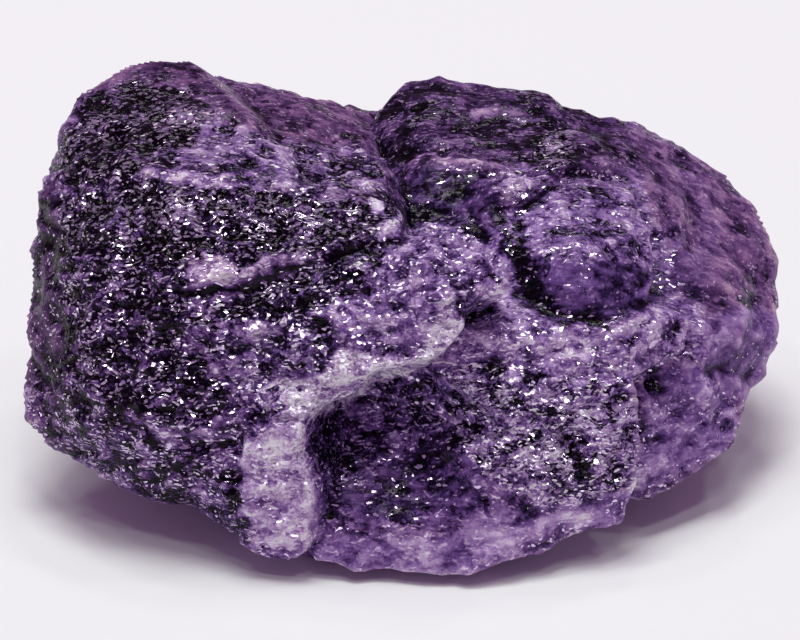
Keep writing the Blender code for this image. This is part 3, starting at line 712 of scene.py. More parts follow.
    Patch("low chip", [(-12.5, -5.1), (-11.85, -5), (-11.6, -5.7), (-12.3, -5.8)], 0.74, 0.3, 0, 0.1),
    Patch("corner chip", [(11.7, -7.9), (12.5, -7.8), (12.7, -8.6), (12, -8.8)], 0.95, 0.3, 0, 0.12),
    Patch("shelf spot", [(-6.5, 8), (-5.7, 8.2), (-5.5, 7.5), (-6.1, 7)], 0.5, 0.4, 0, 0.1),
    Patch("edge spot", [(-1.7, 6.1), (-0.9, 6), (-0.8, 5.3), (-1.5, 5.3)], 0.9, 0.4, 0, 0.12),
    Patch("foot streak", [
        (-1.4, -10.4), (-0.5, -10.5), (2, -11.8), (1.6, -12.3), (0, -11.5)], 0.68, 0.2, 0, 0.12),
]

RIMS = [
    Rim("column", [(-5.1, -5.5), (-5, -8.5), (-4.8, -11.5)], 0.25, 0.75, 0.4),
    Rim("foot of the wedge", [(-12.8, 7.3), (-10.5, 7.1), (-8, 6.8), (-5.5, 6.6)], 0.24, 0.66, 0.4),
    Rim("shelf", [(-6.4, 9), (-5.6, 8.2), (-5.8, 7.2)], 0.25, 0.62, 0.4),
    Rim("upper edge of the front", [(-4.2, 6.1), (-2.6, 6.4), (-1.2, 7)], 0.3, 0.6, 0.5),
    Rim("edge of the top ridge", [(0.9, 12.2), (3.5, 12.2)], 0.25, 0.5, 0.2),
    Rim("crown of the top ridge", [(3.8, 10.3), (7, 10.2)], 0.2, 0.5, 0.2),
    Rim("over the cheek", [(0.6, 7.6), (1.2, 8.5), (2.4, 8.2)], 0.2, 0.58, 0.2),
    Rim("right of the pillow", [(12.4, 5.6), (13.3, 4.2), (13.5, 2.6)], 0.16, 0.55, 0.3),
    Rim("under the pillow", [(8, -0.4), (10.5, -0.6), (12.4, 0.2), (13.6, 1.2)], 0.2, 0.62, 0.3),
    Rim("foot of the top ridge", [(2, 7.8), (4.5, 7.8)], 0.25, 0.6, 0.3),
    Rim("right of the left front", [(-10.3, -1), (-9, -2.5), (-8, -3.8)], 0.3, 0.5, 0.3),
    Rim("over the low left", [(-13.5, -4.7), (-11.8, -5.7), (-10, -6.1), (-8.2, -5.7)], 0.2, 0.5, 0.3),
    Rim("shade across the front", [
        (-11, 1.4), (-7.5, 1.8), (-5, 2.8), (0, 4.2), (0.5, 5.2)], 0.2, 0.08, 0.1),
    Rim("between cheek and pillow", [(4, 5.2), (4.6, 3.8), (5.1, 2.4)], 0.12, 0.55, 0.1),
    Rim("foot of the glittering field", [(7, -10.1), (10.2, -9.9)], 0.2, 0.8, 0.1),
    Rim("shade under the pillow", [(7, 0.7), (8, 0), (10.4, -0.3)], 0.2, 0.1, 0.1),
]


@dataclass
class Stone:
    """The stone's own surface: its sizes, how it is worked out, and its tones."""

    # Where the rays start, as the eye sees it, and how soft the valleys between the blocks are.
    heart: tuple[float, float, float] = (-1.0, -0.3, -3.0)
    crease: float = 0.12

    # Cells along an edge of the first grid; rounds of spreading, while each grid is twice as fine as
    # the last; and the part of the way that a point moves in a round.
    cells: int = 32
    rounds: tuple[int, ...] = (30, 10, 3)
    spread: float = 0.7

    # Facets that bend the edges of the blocks, on a ball of one radius: size, height and numbers.
    zigzags: tuple[tuple[float, float, Salt], ...] = (
        (2.4, 0.30, Salt.ZIGZAGS), (1.0, 0.12, Salt.SMALL_ZIGZAGS))
    zigzag_radius: float = 11.0
    zigzag_turn: float = 0.3
    bowl_edge: Wobble = Wobble(1.7, 0.45, Salt.BOWLS)

    # Facets of the break: size, height and turn. Those finer than coarse are lower on calm parts, down
    # to the share calm, and reach their full height where the glitter is lively.
    chips: tuple[tuple[float, float, float], ...] = (
        (4.5, 0.22, 0.0), (2.2, 0.22, 0.5), (1.1, 0.22, 1.0), (0.55, 0.12, 1.6))
    chip_shift: Wobble = Wobble(2.2, 0.5, Salt.RELIEF)
    coarse: float = 2.0
    calm: float = 0.3
    lively: float = 0.35

    # Terraces: the cleavage's normal, the spacing and height of each size, and the part of a step that
    # drops back. Facets bend them and wear leaves gaps in them; both sizes are in spacings.
    cleavage: tuple[float, float, float] = (-0.15, 0.3, 0.94)
    terraces: tuple[tuple[float, float], ...] = ((1.7, 0.3), (0.7, 0.12))
    riser: float = 0.14
    bend_size: float = 3.1
    bend_far: float = 1.3
    bend_turn: float = 0.3
    worn_size: float = 2.4
    worn_middle: float = 0.45
    worn_swing: float = 1.2

    # How many middling lengths an edge may have before its ends are evened out, and how many times.
    stretched: float = 2.0
    soothings: int = 3

    # Values away from the patches, and how ragged the patches and rims are.
    ground: tuple[tuple[str, Mottling], ...] = (
        ("tone", Mottling(0.34, 0.08, 3.5, Salt.TONE)),
        ("glitter", Mottling(0.25, 0.12, 3.0, Salt.GLITTER)),
        ("stain", Mottling(0.25, 0.25, 5.0, Salt.STAIN)))
    patch_edge: Wobble = Wobble(1.3, 0.25, Salt.PATCH_EDGES)
    patch_nicks: Wobble = Wobble(0.5, 0.16, Salt.PATCH_NICKS)
    rim_edge: Wobble = Wobble(0.7, 0.2, Salt.RIMS)

    # Height of a crest; the painted light that a crest adds to the tone and the painted shade that a dent
    # takes from it; and how many times the surroundings that it is measured from are averaged.
    crest: float = 0.1
    painted_relief_light: float = 0.22
    crest_rounds: int = 4

    # Start and width of the fades above the table and toward the back, and how far past edge-on the
    # patches go.
    base_fade: tuple[float, float] = (0.1, 0.8)
    front_fade: tuple[float, float] = (-9.0, 3.0)
    turn_fade: float = 0.35

    centre: np.ndarray = field(init=False)
    planes: list[tuple[np.ndarray, np.ndarray, float]] = field(init=False)

    def __post_init__(self) -> None:
        """Work out every block's faces once."""
        self.centre = EYE.to_world([self.heart])[0]
        self.planes = [(*block.planes(self.centre), block.softness) for block in BLOCKS]

    def sphere(self) -> tuple[np.ndarray, np.ndarray]:
        """Lay a grid of even angles on a cube's six sides and weld their edges.

        Each side's two parameters are the tangents of angles from -45 to 45 degrees.

        Returns:
            Unit ways, and the four corners of each cell.
        """
        s = np.tan(np.linspace(-math.pi / 4, math.pi / 4, self.cells + 1))
        u, v = np.meshgrid(s, s, indexing="ij")
        one = np.ones_like(u)
        sides = [(one, u, v), (-one, -u, v), (-u, one, v), (u, -one, v), (-v, u, one), (v, u, -one)]
        points, quads = [], []
        for i, side in enumerate(sides):
            points.append(np.stack(side, -1).reshape(-1, 3))
            k = np.arange((self.cells + 1) ** 2).reshape(self.cells + 1, -1) + i * (self.cells + 1) ** 2
            quads.append(np.stack([k[:-1, :-1], k[1:, :-1], k[1:, 1:], k[:-1, 1:]], -1).reshape(-1, 4))
        ways = unit(np.concatenate(points))
        _, first, welded = np.unique(np.round(ways, 6), axis=0, return_index=True, return_inverse=True)
        return ways[first], welded.reshape(-1)[np.concatenate(quads)]

    @staticmethod
    def cell_sides(quads: np.ndarray) -> np.ndarray:
        """The two ends of each side of each cell: all first sides, then all second ones and so on."""
        return np.sort(np.concatenate([quads[:, [k, (k + 1) % 4]] for k in range(4)]), 1)

    @staticmethod
    def edges(quads: np.ndarray) -> np.ndarray:
        """Each edge of the cells once, as two point numbers."""
        return np.unique(Stone.cell_sides(quads), axis=0)

    @staticmethod
    def split(points: np.ndarray, quads: np.ndarray) -> tuple[np.ndarray, np.ndarray]:
        """Cut each cell into four at its edges' middles and its own middle.

        Args:
            points: places of the cells' corners.
            quads: the four corners of each cell.

        Returns:
            The new points and cells.
        """
        pairs, number = np.unique(Stone.cell_sides(quads), axis=0, return_inverse=True)
        mid = number.reshape(4, -1) + len(points)
        own = np.arange(len(quads)) + len(points) + len(pairs)
        a, b, c, d = quads.T
        parts = (
            (a, mid[0], own, mid[3]), (mid[0], b, mid[1], own),
            (own, mid[1], c, mid[2]), (mid[3], own, mid[2], d))
        cells = np.concatenate([np.stack(part, 1) for part in parts])
        return np.concatenate([points, points[pairs].mean(1), points[quads].mean(1)]), cells

    @staticmethod
    def average(values: np.ndarray, edges: np.ndarray) -> np.ndarray:
        """Take the mean over each point's neighbours.

        Args:
            values: one row for each point.
            edges: each edge once, as two point numbers.

        Returns:
            The mean of the rows at the other ends of each point's edges.
        """
        count = len(values)
        total = np.zeros_like(values)
        for near, other in ((0, 1), (1, 0)):
            for axis in range(values.shape[1]):
                total[:, axis] += np.bincount(edges[:, near], values[edges[:, other], axis], count)
        return total / np.bincount(edges.ravel(), minlength=count)[:, None]

    @staticmethod
    def normals(points: np.ndarray, quads: np.ndarray) -> np.ndarray:
        """Add up the crossed diagonals of the cells round each point.

        Args:
            points: places of the cells' corners.
            quads: the four corners of each cell.

        Returns:
            Outward ways, one long.
        """
        a, b, c, d = (points[quads[:, k]] for k in range(4))
        crossed = np.cross(c - a, d - b)
        total = np.zeros_like(points)
        for corner in range(4):
            for axis in range(3):
                total[:, axis] += np.bincount(quads[:, corner], crossed[:, axis], len(points))
        return unit(total)

    def reach(self, ways: np.ndarray) -> np.ndarray:
        """Find the surface along each way.

        A ray leaves a block at the lowest of (offset - normal . heart) / (normal . way) over its
        faces; the surface is at the highest of these over the blocks, less the bowls, and never
        under the table. The ways are first bent a little so that the blocks' edges run in zigzags.

        Args:
            ways: unit vectors from the heart.

        Returns:
            Distance from the heart.
        """
        stray = np.zeros_like(ways)
        ball = self.zigzag_radius * ways
        for size, far, salt in self.zigzags:
            for own in range(salt, salt + 3):
                stray[:, own - salt] += far * facet_noise(ball, size, own, self.zigzag_turn * own)
        bent = unit(ways + stray / self.zigzag_radius)
        leaves = []
        for normals, offsets, soft in self.planes:
            closing = np.maximum(bent @ normals.T, LEAST_CLOSING)
            leaves.append(soft_lowest((offsets - normals @ self.centre) / closing, soft))
        far = -soft_lowest(-np.stack(leaves, 1), self.crease)
        seen = EYE.from_world(self.centre + ways * far[:, None])
        strayed = seen + self.bowl_edge.move(seen)
        far = far - sum(bowl.sink(strayed) for bowl in BOWLS)
        fall = -ways[:, 2]
        to_floor = np.where(fall > LEAST_FALL, self.centre[2] / np.maximum(fall, LEAST_FALL), np.inf)
        return np.minimum(far, to_floor)

    def settle(self) -> tuple[np.ndarray, np.ndarray, np.ndarray]:
        """Spread the points evenly over the surface, level by level.

        Each round moves every point most of the way to its neighbours' mean and takes the new way
        to it from the heart.

        Returns:
            Ways, surface points and cells at the finest level.
        """
        ways, quads = self.sphere()
        for level, count in enumerate(self.rounds):
            if level:
                ways, quads = self.split(ways, quads)
                ways = unit(ways)
            edges = self.edges(quads)
            for _ in range(count):
                points = self.centre + ways * self.reach(ways)[:, None]
                points += self.spread * (self.average(points, edges) - points)
                ways = unit(points - self.centre)
        return ways, self.centre + ways * self.reach(ways)[:, None], quads

    def steps(self, points: np.ndarray) -> np.ndarray:
        """Terraces where the stone splits along its cleavage.

        The distance along the cleavage's normal, bent by facets, is counted in steps. Over each
        step the height climbs evenly, and over the last part of it, the riser, it drops back.

        Args:
            points: surface points.

        Returns:
            Height to add.
        """
        total = np.zeros(len(points))
        for step, (spacing, height) in enumerate(self.terraces):
            bend = facet_noise(points, self.bend_size * spacing, Salt.STEPS + step, self.bend_turn)
            count = points @ np.array(self.cleavage) / spacing + self.bend_far * bend
            part = count - np.floor(count)
            climb = np.minimum(part / (1 - self.riser), (1 - part) / self.riser) - 0.5
            worn = smooth_noise(points, self.worn_size * spacing, Salt.WORN_STEPS + step)
            total += height * climb * np.clip(self.worn_middle + self.worn_swing * worn, 0, 1)
        return total

    def relief(self, points: np.ndarray, glitter: np.ndarray) -> np.ndarray:
        """Height added along the rays: facets of each size, terraces, and the ledges of the show side.

        The finest facets and the terraces are lower where the stone glints less, because those
        parts are worn or split smooth.

        Args:
            points: surface points.
            glitter: how much each point glints.

        Returns:
            Height to add.
        """
        strayed = points + self.chip_shift.move(points)
        rough = np.clip(self.calm + (1 - self.calm) * glitter / self.lively, 0, 1)
        total = rough * self.steps(strayed)
        for step, (size, height, turn) in enumerate(self.chips):
            share = rough if size < self.coarse else 1.0
            total = total + share * height * facet_noise(strayed, size, Salt.CHIPS + step, turn)
        seen = EYE.from_world(points)
        front = np.clip((seen[:, 2] - self.front_fade[0]) / self.front_fade[1], 0, 1)
        total = total + front * sum(ledge.lift(seen) for ledge in LEDGES)
        return total * np.clip((points[:, 2] - self.base_fade[0]) / self.base_fade[1], 0, 1)

    def tones(self, points: np.ndarray, quads: np.ndarray) -> dict[str, np.ndarray]:
        """Work out how pale, glittery and stained each point is.

        Patches are laid over each other in order, then the rims, which leave the stain as it is.
        They fade where the surface turns away from the eye, so the back keeps its own even mottling.

        Args:
            points: surface points.
            quads: the four corners of each cell.

        Returns:
            Named values from 0 to 1, one for each point.
        """
        values = {label: mottling.spread(points) for label, mottling in self.ground}
        seen = EYE.from_world(points)
        by_patch = seen + self.patch_edge.move(seen) + self.patch_nicks.move(seen)
        by_rim = seen + self.rim_edge.move(seen)
        facing = self.normals(points, quads) @ EYE.back()
        front = np.clip(1 + facing / self.turn_fade, 0, 1)
        for band, places in [(patch, by_patch) for patch in PATCHES] + [(rim, by_rim) for rim in RIMS]:
            share = band.share(places) * front
            for label, value in values.items():
                value += share * (getattr(band, label, value) - value)
        return values

    def bulge(self, points: np.ndarray, quads: np.ndarray) -> np.ndarray:
        """Measure how far each point stands proud of its surroundings.

        The surroundings are the surface averaged over neighbours a few times, and the height over
        them is measured along the point's normal.

        Args:
            points: surface points.
            quads: the four corners of each cell.

        Returns:
            Height of each point, below 0 in a dent.
        """
        edges = self.edges(quads)
        smooth = points
        for _ in range(self.crest_rounds):
            smooth = self.average(smooth, edges)
        return ((points - smooth) * self.normals(points, quads)).sum(1)

    def soothe(self, points: np.ndarray, quads: np.ndarray) -> np.ndarray:
        """Even out the walls where the grid is stretched, whose teeth would show against the light.

        Where the longest edge at a point is well over the middling length, the point is moved to its
        neighbours' mean, and again.

        Args:
            points: surface points.
            quads: the four corners of each cell.

        Returns:
            The points, moved.
        """
        edges = self.edges(quads)
        length = np.linalg.norm(points[edges[:, 0]] - points[edges[:, 1]], axis=1)
        longest = np.zeros(len(points))
        for end in (0, 1):
            np.maximum.at(longest, edges[:, end], length)
        share = np.clip(longest / np.median(length) - self.stretched, 0, 1)[:, None]
        for _ in range(self.soothings):
            points = points + share * (self.average(points, edges) - points)
        return points

    def make(self, name: str) -> bpy.types.Object:
        """Build the stone's mesh with its tones as point attributes.

        Args:
            name: the object's name.

        Returns:
            The object, at the origin.
        """
        ways, points, quads = self.settle()
        points = self.soothe(points, quads)
        tones = self.tones(points, quads)
        points = points + ways * self.relief(points, tones["glitter"])[:, None]
        points = self.soothe(points, quads)
        points[:, 2] = np.maximum(points[:, 2], 0.0)
        # Painted light and shade: a crest is made paler and a dent darker, by its height over its
        # surroundings.
        tones["tone"] += self.painted_relief_light * np.clip(self.bulge(points, quads) / self.crest, -1, 1)
        mesh = bpy.data.meshes.new(name)
        mesh.from_pydata((points * MM).tolist(), [], quads.tolist())
        for label, values in tones.items():
            layer = mesh.attributes.new(label, "FLOAT", "POINT")
            layer.data.foreach_set("value", np.clip(values, 0, 1).astype(np.float32))
        mesh.shade_smooth()
        mesh.update()
        stone = bpy.data.objects.new(name, mesh)
        bpy.context.scene.collection.objects.link(stone)
        log.info("%s: %d points, %d cells", name, len(points), len(quads))
        return stone


Tree = bpy.types.NodeTree
Socket = bpy.types.NodeSocket

# A colour Mix node's inputs and output, by number because its names repeat.
SHARE, FIRST, SECOND, MIXED = 0, 6, 7, 2
MIDDLE_GREY = (0.5, 0.5, 0.5)


def add_node(tree: Tree, kind: str, inputs: dict | None = None, **settings) -> bpy.types.Node:
    """Add a node, set it up, and fill or link its inputs.

    Args:
        tree: where the node goes.
        kind: Blender's name for the node.
        inputs: input name or number, and the value or the output that feeds it.
        **settings: the node's own settings.

    Returns:
        The new node.
    """
    node = tree.nodes.new(kind)
    for name, value in settings.items():
        setattr(node, name, value)
    for key, value in (inputs or {}).items():
        if isinstance(value, Socket):
            tree.links.new(value, node.inputs[key])
        else:
            node.inputs[key].default_value = value
    return node


def lean(tree: Tree, colour: Socket, amount: float | Socket, onto: Socket) -> Socket:
    """Move a vector by a colour's distance from middle grey, times an amount.

    Args:
        tree: where the nodes go.
        colour: a pattern with three parts from 0 to 1.
        amount: how far the pattern carries.
        onto: the vector that is moved.

    Returns:
        The moved vector.
    """
    gap = add_node(tree, "ShaderNodeVectorMath", {0: colour, 1: MIDDLE_GREY}, operation="SUBTRACT")
    move = add_node(tree, "ShaderNodeVectorMath", {0: gap.outputs[0], "Scale": amount}, operation="SCALE")
    return add_node(tree, "ShaderNodeVectorMath", {0: move.outputs[0], 1: onto}, operation="ADD").outputs[0]


@dataclass(frozen=True)
class Clouds:
    """Soft noise of one size in millimetres, with finer octaves of a given detail and roughness."""

    name: str
    mm: float
    detail: float
    roughness: float = 0.5


@dataclass(frozen=True)
class Cells:
    """Cells of one size in millimetres, stretched along the cleavage, in rows that clouds bend."""

    name: str
    mm: tuple[float, float, float]
    bent_by: str
    bend: float


@dataclass(frozen=True)
class Swing:
    """How far a pattern carries a value or a vector.

    Its distance from its middle is counted least + more x glitter times.
    """

    name: str
    least: float
    more: float = 0.0
    middle: float = 0.5

    def amount(self, tree: Tree, glitter: Socket) -> Socket:
        """Least plus more times glitter."""
        inputs = {0: glitter, 1: self.more, 2: self.least}
        return add_node(tree, "ShaderNodeMath", inputs, operation="MULTIPLY_ADD").outputs[0]


@dataclass(frozen=True)
class BrokenZoisite:
    """Violet zoisite as it breaks out of the rock: glassy where it is dark, sugary where it is pale.

    To the eye a glassy break is nearly black and flashes from many tiny mirrors, a crushed one
    scatters the light like coarse sugar, and rust from the rock browns both a little.
    """

    # Colours by depth, from clear dark stone to crushed white; the pale colour of a sparking mirror, partly
    # a painted glint over its metallic flash; and the rust, which is multiplied in.
    ramp: tuple[tuple[float, str], ...] = (
        (0.0, "030106"), (0.1, "140B1E"), (0.2, "33204B"), (0.4, "755394"), (0.6, "AB88C0"), (0.8, "DAC3E4"),
        (1.0, "FBF6FC"))
    frost_and_glint: str = "E2CFEE"
    iron_stain: str = "C09A8C"

    # Zoisite's own IOR. The gloss is low and mauve, because a broken face shines grain by grain.
    ior: float = 1.69
    specular: float = 0.08
    mauve_gleam: str = "FFEEFF"

    # Roughness of the dark breaks and of the crushed ones, and the depths at which they are reached.
    glassy: float = 0.15
    sugary: float = 0.45
    glassy_depth: float = 0.1
    sugary_depth: float = 0.8

    # Mottle makes clear and cloudy parts. Grit makes crushed grains, which are 0.05 mm and less in the
    # stone and are drawn at 0.15 mm to show. Swirl bends the rows of cells.
    clouds: tuple[Clouds, ...] = (
        Clouds("mottle", 1.3, 4.0, 0.6), Clouds("grit", 0.15, 2.0, 0.7), Clouds("swirl", 0.6, 1.0))

    # Mirrors are cleaved steps, 0.05 mm wide in the stone and drawn at 0.1 mm to show. Flakes are
    # splinters that shine as one, and panes are the flats between cracks, each a little paler or darker.
    cells: tuple[Cells, ...] = (
        Cells("mirror", (0.22, 0.1, 0.1), "swirl", 0.45), Cells("flake", (0.6, 0.35, 0.35), "swirl", 0.45),
        Cells("pane", (2.2, 1.2, 1.2), "mottle", 3.0))

    # Streaks run along the cleavage, which lies at these angles.
    streak_mm: tuple[float, float, float] = (1.6, 0.4, 0.4)
    streak_detail: float = 3.0
    cleavage: tuple[float, float, float] = (0.2, 0.35, 0.15)

    # What moves the depth of colour, and what leans the faces. Gleam is painted glints: rare mirrors made
    # pale in the colour, which a high power picks out, and its middle is the mean of that power.
    depth_swings: tuple[Swing, ...] = (
        Swing("pane", 0.22), Swing("mottle", 0.4, 1.5), Swing("streak", 0.6), Swing("grit", 0.1, 1.7),
        Swing("flake", 0.045, 0.765), Swing("gleam", 0.1, 1.7, 0.07))
    gleam_power: float = 14.0
    face_swings: tuple[Swing, ...] = (
        Swing("mirror", 0.1, 1.6), Swing("grit", 0.25, 0.4), Swing("flake", 0.1, 1.0))

    # Sparks crowd on pale mottle and on some flakes: what each adds, where they start and their least
    # share; then the share of mirrors that spark in the thickest crowd, and how metallic one looks.
    crowd_mottle: float = 3.0
    crowd_flake: float = 0.6
    crowd_start: float = -1.4
    crowd_least: float = 0.1
    spark_share: float = 0.85
    spark_metal: float = 0.85

    def patterns(self, tree: Tree) -> tuple[dict[str, Socket], dict[str, Socket]]:
        """Lay out all patterns, their scales worked out from their sizes in millimetres.

        Each cell has a colour at random: its first part is its value, and its second is its lot.

        Args:
            tree: where the nodes go.

        Returns:
            Values from 0 to 1 by name, and by name the colours of the patterns that have one.
        """
        values, colours = {}, {}
        for name in ("tone", "glitter", "stain"):
            values[name] = add_node(tree, "ShaderNodeAttribute", attribute_name=name).outputs["Fac"]
        place = add_node(tree, "ShaderNodeTexCoord").outputs["Object"]
        mm = add_node(tree, "ShaderNodeVectorMath", {0: place, "Scale": 1 / MM}, operation="SCALE").outputs[0]
        for cloud in self.clouds:
            node = add_node(tree, "ShaderNodeTexNoise", {
                "Vector": mm, "Scale": 1 / cloud.mm, "Detail": cloud.detail, "Roughness": cloud.roughness})
            values[cloud.name], colours[cloud.name] = node.outputs[0], node.outputs["Color"]
        drawn = add_node(tree, "ShaderNodeMapping", {
            "Vector": mm, "Rotation": self.cleavage, "Scale": tuple(1 / size for size in self.streak_mm)})
        values["streak"] = add_node(tree, "ShaderNodeTexNoise", {
            "Vector": drawn.outputs[0], "Scale": 1.0, "Detail": self.streak_detail}).outputs[0]
        for cell in self.cells:
            drawn = add_node(tree, "ShaderNodeMapping", {
                "Vector": lean(tree, colours[cell.bent_by], cell.bend, mm),
                "Rotation": self.cleavage, "Scale": tuple(1 / size for size in cell.mm)})
            node = add_node(tree, "ShaderNodeTexVoronoi", {"Vector": drawn.outputs[0], "Scale": 1.0})
            colours[cell.name] = node.outputs["Color"]
            parts = add_node(tree, "ShaderNodeSeparateColor", {0: node.outputs["Color"]})
            values[cell.name], values[cell.name + " lot"] = parts.outputs[0], parts.outputs[1]
        inputs = {0: values["mirror"], 1: self.gleam_power}
        values["gleam"] = add_node(tree, "ShaderNodeMath", inputs, operation="POWER").outputs[0]
        return values, colours

    def depth(self, tree: Tree, values: dict[str, Socket]) -> Socket:
        """Work out the depth of colour: the tone, moved by each pattern in turn.

        Args:
            tree: where the nodes go.
            values: the patterns by name.

        Returns:
            From 0, clear dark stone, to 1, crushed white; it may pass both.
        """
        depth = values["tone"]
        for swing in self.depth_swings:
            inputs = {0: values[swing.name], 1: swing.middle}
            gap = add_node(tree, "ShaderNodeMath", inputs, operation="SUBTRACT").outputs[0]
            inputs = {0: gap, 1: swing.amount(tree, values["glitter"]), 2: depth}
            depth = add_node(tree, "ShaderNodeMath", inputs, operation="MULTIPLY_ADD").outputs[0]
        return depth

    def sparks(self, tree: Tree, values: dict[str, Socket]) -> Socket:
        """Choose the mirrors that spark: those whose lot is over 1 - share x crowd.

        The crowd is start + the mottle and the flake's lot times their own amounts, never under its
        least, times glitter.

        Args:
            tree: where the nodes go.
            values: the patterns by name.

        Returns:
            1 on a spark and 0 elsewhere.
        """
        crowd: float | Socket = self.crowd_start
        for name, amount in (("flake lot", self.crowd_flake), ("mottle", self.crowd_mottle)):
            inputs = {0: values[name], 1: amount, 2: crowd}
            crowd = add_node(tree, "ShaderNodeMath", inputs, operation="MULTIPLY_ADD").outputs[0]
        for kind, other in (("MAXIMUM", self.crowd_least), ("MULTIPLY", values["glitter"])):
            crowd = add_node(tree, "ShaderNodeMath", {0: crowd, 1: other}, operation=kind).outputs[0]
        inputs = {0: crowd, 1: -self.spark_share, 2: 1.0}
        bar = add_node(tree, "ShaderNodeMath", inputs, operation="MULTIPLY_ADD").outputs[0]
        inputs = {0: values["mirror lot"], 1: bar}
        return add_node(tree, "ShaderNodeMath", inputs, operation="GREATER_THAN").outputs[0]

    def material(self, name: str) -> bpy.types.Material:
        """Build the material, which reads the tone, glitter and stain of each point.

        Args:
            name: what the finish is and how it was made.

        Returns:
            The material.
        """
        material = bpy.data.materials.new(name)
        material.use_nodes = True
        tree = material.node_tree
        shader = tree.nodes["Principled BSDF"]
        shader.inputs["IOR"].default_value = self.ior
        shader.inputs["Specular IOR Level"].default_value = self.specular
        shader.inputs["Specular Tint"].default_value = linear(self.mauve_gleam)

        values, colours = self.patterns(tree)
        depth = self.depth(tree, values)
        ramp = add_node(tree, "ShaderNodeValToRGB", {0: depth})
        steps = ramp.color_ramp.elements
        while len(steps) < len(self.ramp):
            steps.new(0.5)
        for step, (position, colour) in zip(steps, self.ramp):
            step.position = position
            step.color = linear(colour)
        stained = add_node(tree, "ShaderNodeMix", {
            SHARE: values["stain"], FIRST: ramp.outputs[0], SECOND: linear(self.iron_stain)},
            data_type="RGBA", blend_type="MULTIPLY")

        # Sparking mirrors flash as metal, a real reflection, and also take the pale colour as a painted
        # glint.
        spark = self.sparks(tree, values)
        frosted_and_glinting = add_node(tree, "ShaderNodeMix", {
            SHARE: spark, FIRST: stained.outputs[MIXED], SECOND: linear(self.frost_and_glint)}, data_type="RGBA")
        metal = add_node(tree, "ShaderNodeMath", {0: spark, 1: self.spark_metal}, operation="MULTIPLY")
        rough = add_node(tree, "ShaderNodeMapRange", {
            "Value": depth, "From Min": self.glassy_depth, "From Max": self.sugary_depth,
            "To Min": self.glassy, "To Max": self.sugary})

        normal = add_node(tree, "ShaderNodeNewGeometry").outputs["Normal"]
        for swing in self.face_swings:
            normal = lean(tree, colours[swing.name], swing.amount(tree, values["glitter"]), normal)
        face = add_node(tree, "ShaderNodeVectorMath", {0: normal}, operation="NORMALIZE")

        for label, output in (("Base Color", frosted_and_glinting.outputs[MIXED]), ("Metallic", metal.outputs[0]),
                              ("Roughness", rough.outputs[0]), ("Normal", face.outputs[0])):
            tree.links.new(output, shader.inputs[label])
        return material


@dataclass(frozen=True)
class CoatedPaper:
    """Matt coated paper, rolled flat: an even pale table that takes soft shadows and hardly shines.

    Its half-width, and its drop below the stone's flat spot, are in metres.
    """

    colour: str = "F3F2F4"
    roughness: float = 0.85
    specular: float = 0.2
    half_width: float = 1.5
    drop: float = 0.00002

    def make(self, name: str) -> bpy.types.Object:
        """Lay the sheet just under the stone's flat spot.

        Args:
            name: the object's name.

        Returns:
            The sheet.
        """
        w, z = self.half_width, -self.drop
        mesh = bpy.data.meshes.new(name)
        mesh.from_pydata([(-w, -w, z), (w, -w, z), (w, w, z), (-w, w, z)], [], [(0, 1, 2, 3)])
        material = bpy.data.materials.new("matt_coated_paper")
        material.use_nodes = True
        shader = material.node_tree.nodes["Principled BSDF"]
        shader.inputs["Base Color"].default_value = linear(self.colour)
        shader.inputs["Roughness"].default_value = self.roughness
        shader.inputs["Specular IOR Level"].default_value = self.specular
        mesh.materials.append(material)
        sheet = bpy.data.objects.new(name, mesh)
        bpy.context.scene.collection.objects.link(sheet)
        log.info("%s: laid", name)
        return sheet


@dataclass(frozen=True)
class Lamp:
    """A square soft light: place and size in metres, power in watts."""

    name: str
    place: tuple[float, float, float]
    size: float
    power: float


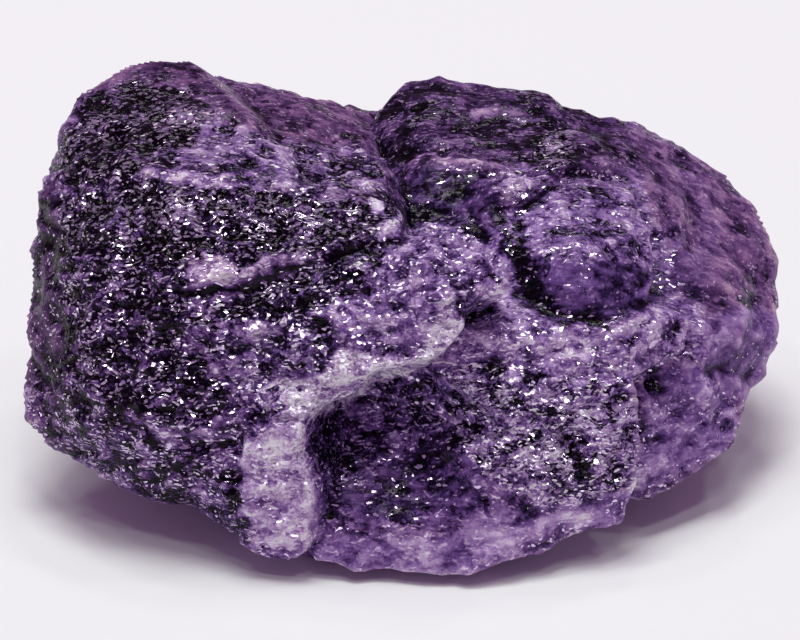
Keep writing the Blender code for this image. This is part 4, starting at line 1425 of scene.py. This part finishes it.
@dataclass
class Studio:
    """The table's light and the camera: a ring of small soft lamps with a large one over it.

    Many small lamps blend into soft light, and each still glints in the stone's tiny mirrors. They
    are a touch green, so that with the mauve air the lit table is nearly white, and only shadows are
    mauve. Lengths are in metres, apart from those of the camera's frame and sensor.
    """

    ring_count: int = 7
    ring_radius: float = 0.2
    ring_height: float = 0.46
    ring_back: float = 0.03
    ring_size: float = 0.035
    ring_power: float = 0.118
    top_place: tuple[float, float, float] = (-0.03, 0.05, 0.55)
    top_size: float = 0.2
    top_power: float = 1.73
    lamp_colour: str = "F6FFF6"
    air: str = "A380A6"
    air_strength: float = 0.6
    frame_mm: float = 40.0
    sensor_mm: float = 36.0
    nearest: float = 0.001
    farthest: float = 10.0

    def lamps(self) -> list[Lamp]:
        """List the lamps: even steps round a ring, and one over it.

        Returns:
            The small lamps and the large one.
        """
        lamps = []
        for k in range(self.ring_count):
            turn = 2 * math.pi * (k + 0.5) / self.ring_count
            across, back = self.ring_radius * math.cos(turn), self.ring_radius * math.sin(turn)
            place = (across, self.ring_back + back, self.ring_height)
            lamps.append(Lamp(f"ring_{k}", place, self.ring_size, self.ring_power))
        return [*lamps, Lamp("top", self.top_place, self.top_size, self.top_power)]

    def light(self) -> None:
        """Place the lamps, each turned to the stone, and fill the air with a faint mauve."""
        target = Vector((0.0, 0.0, EYE.level * MM))
        for lamp in self.lamps():
            data = bpy.data.lights.new(lamp.name, "AREA")
            data.size = lamp.size
            data.energy = lamp.power
            data.color = linear(self.lamp_colour)[:3]
            light = bpy.data.objects.new(lamp.name, data)
            light.location = lamp.place
            light.rotation_euler = (target - light.location).to_track_quat("-Z", "Y").to_euler()
            bpy.context.scene.collection.objects.link(light)
            log.info("%s: %.3f W", lamp.name, lamp.power)
        world = bpy.data.worlds.new("air")
        bpy.context.scene.world = world
        world.use_nodes = True
        background = world.node_tree.nodes["Background"]
        background.inputs["Color"].default_value = linear(self.air)
        background.inputs["Strength"].default_value = self.air_strength

    def look(self) -> None:
        """Set the camera where the show side is drawn from: its frame is 40 mm wide at the stone.

        The plain view transform keeps the stone's own contrast and colour.
        """
        data = bpy.data.cameras.new("camera")
        data.sensor_width = self.sensor_mm
        data.lens = self.sensor_mm * EYE.distance / self.frame_mm
        data.clip_start = self.nearest
        data.clip_end = self.farthest
        camera = bpy.data.objects.new("camera", data)
        back = Vector(EYE.back())
        camera.location = Vector((0.0, 0.0, EYE.level * MM)) + back * EYE.distance * MM
        camera.rotation_euler = (-back).to_track_quat("-Z", "Y").to_euler()
        bpy.context.scene.collection.objects.link(camera)
        bpy.context.scene.camera = camera
        bpy.context.scene.view_settings.view_transform = "Standard"


def main() -> None:
    """Build the stone, dress it, lay the sheet and set the studio."""
    stone = Stone().make("tanzanite_lump")
    stone.data.materials.append(BrokenZoisite().material("broken_violet_zoisite"))
    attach(stone, "root")
    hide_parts("rough_tanzanite")
    sheet = CoatedPaper().make("table_sheet")
    studio = Studio()
    studio.light()
    studio.look()


if __name__ == "__main__":
    logging.basicConfig(level=logging.INFO)
    main()
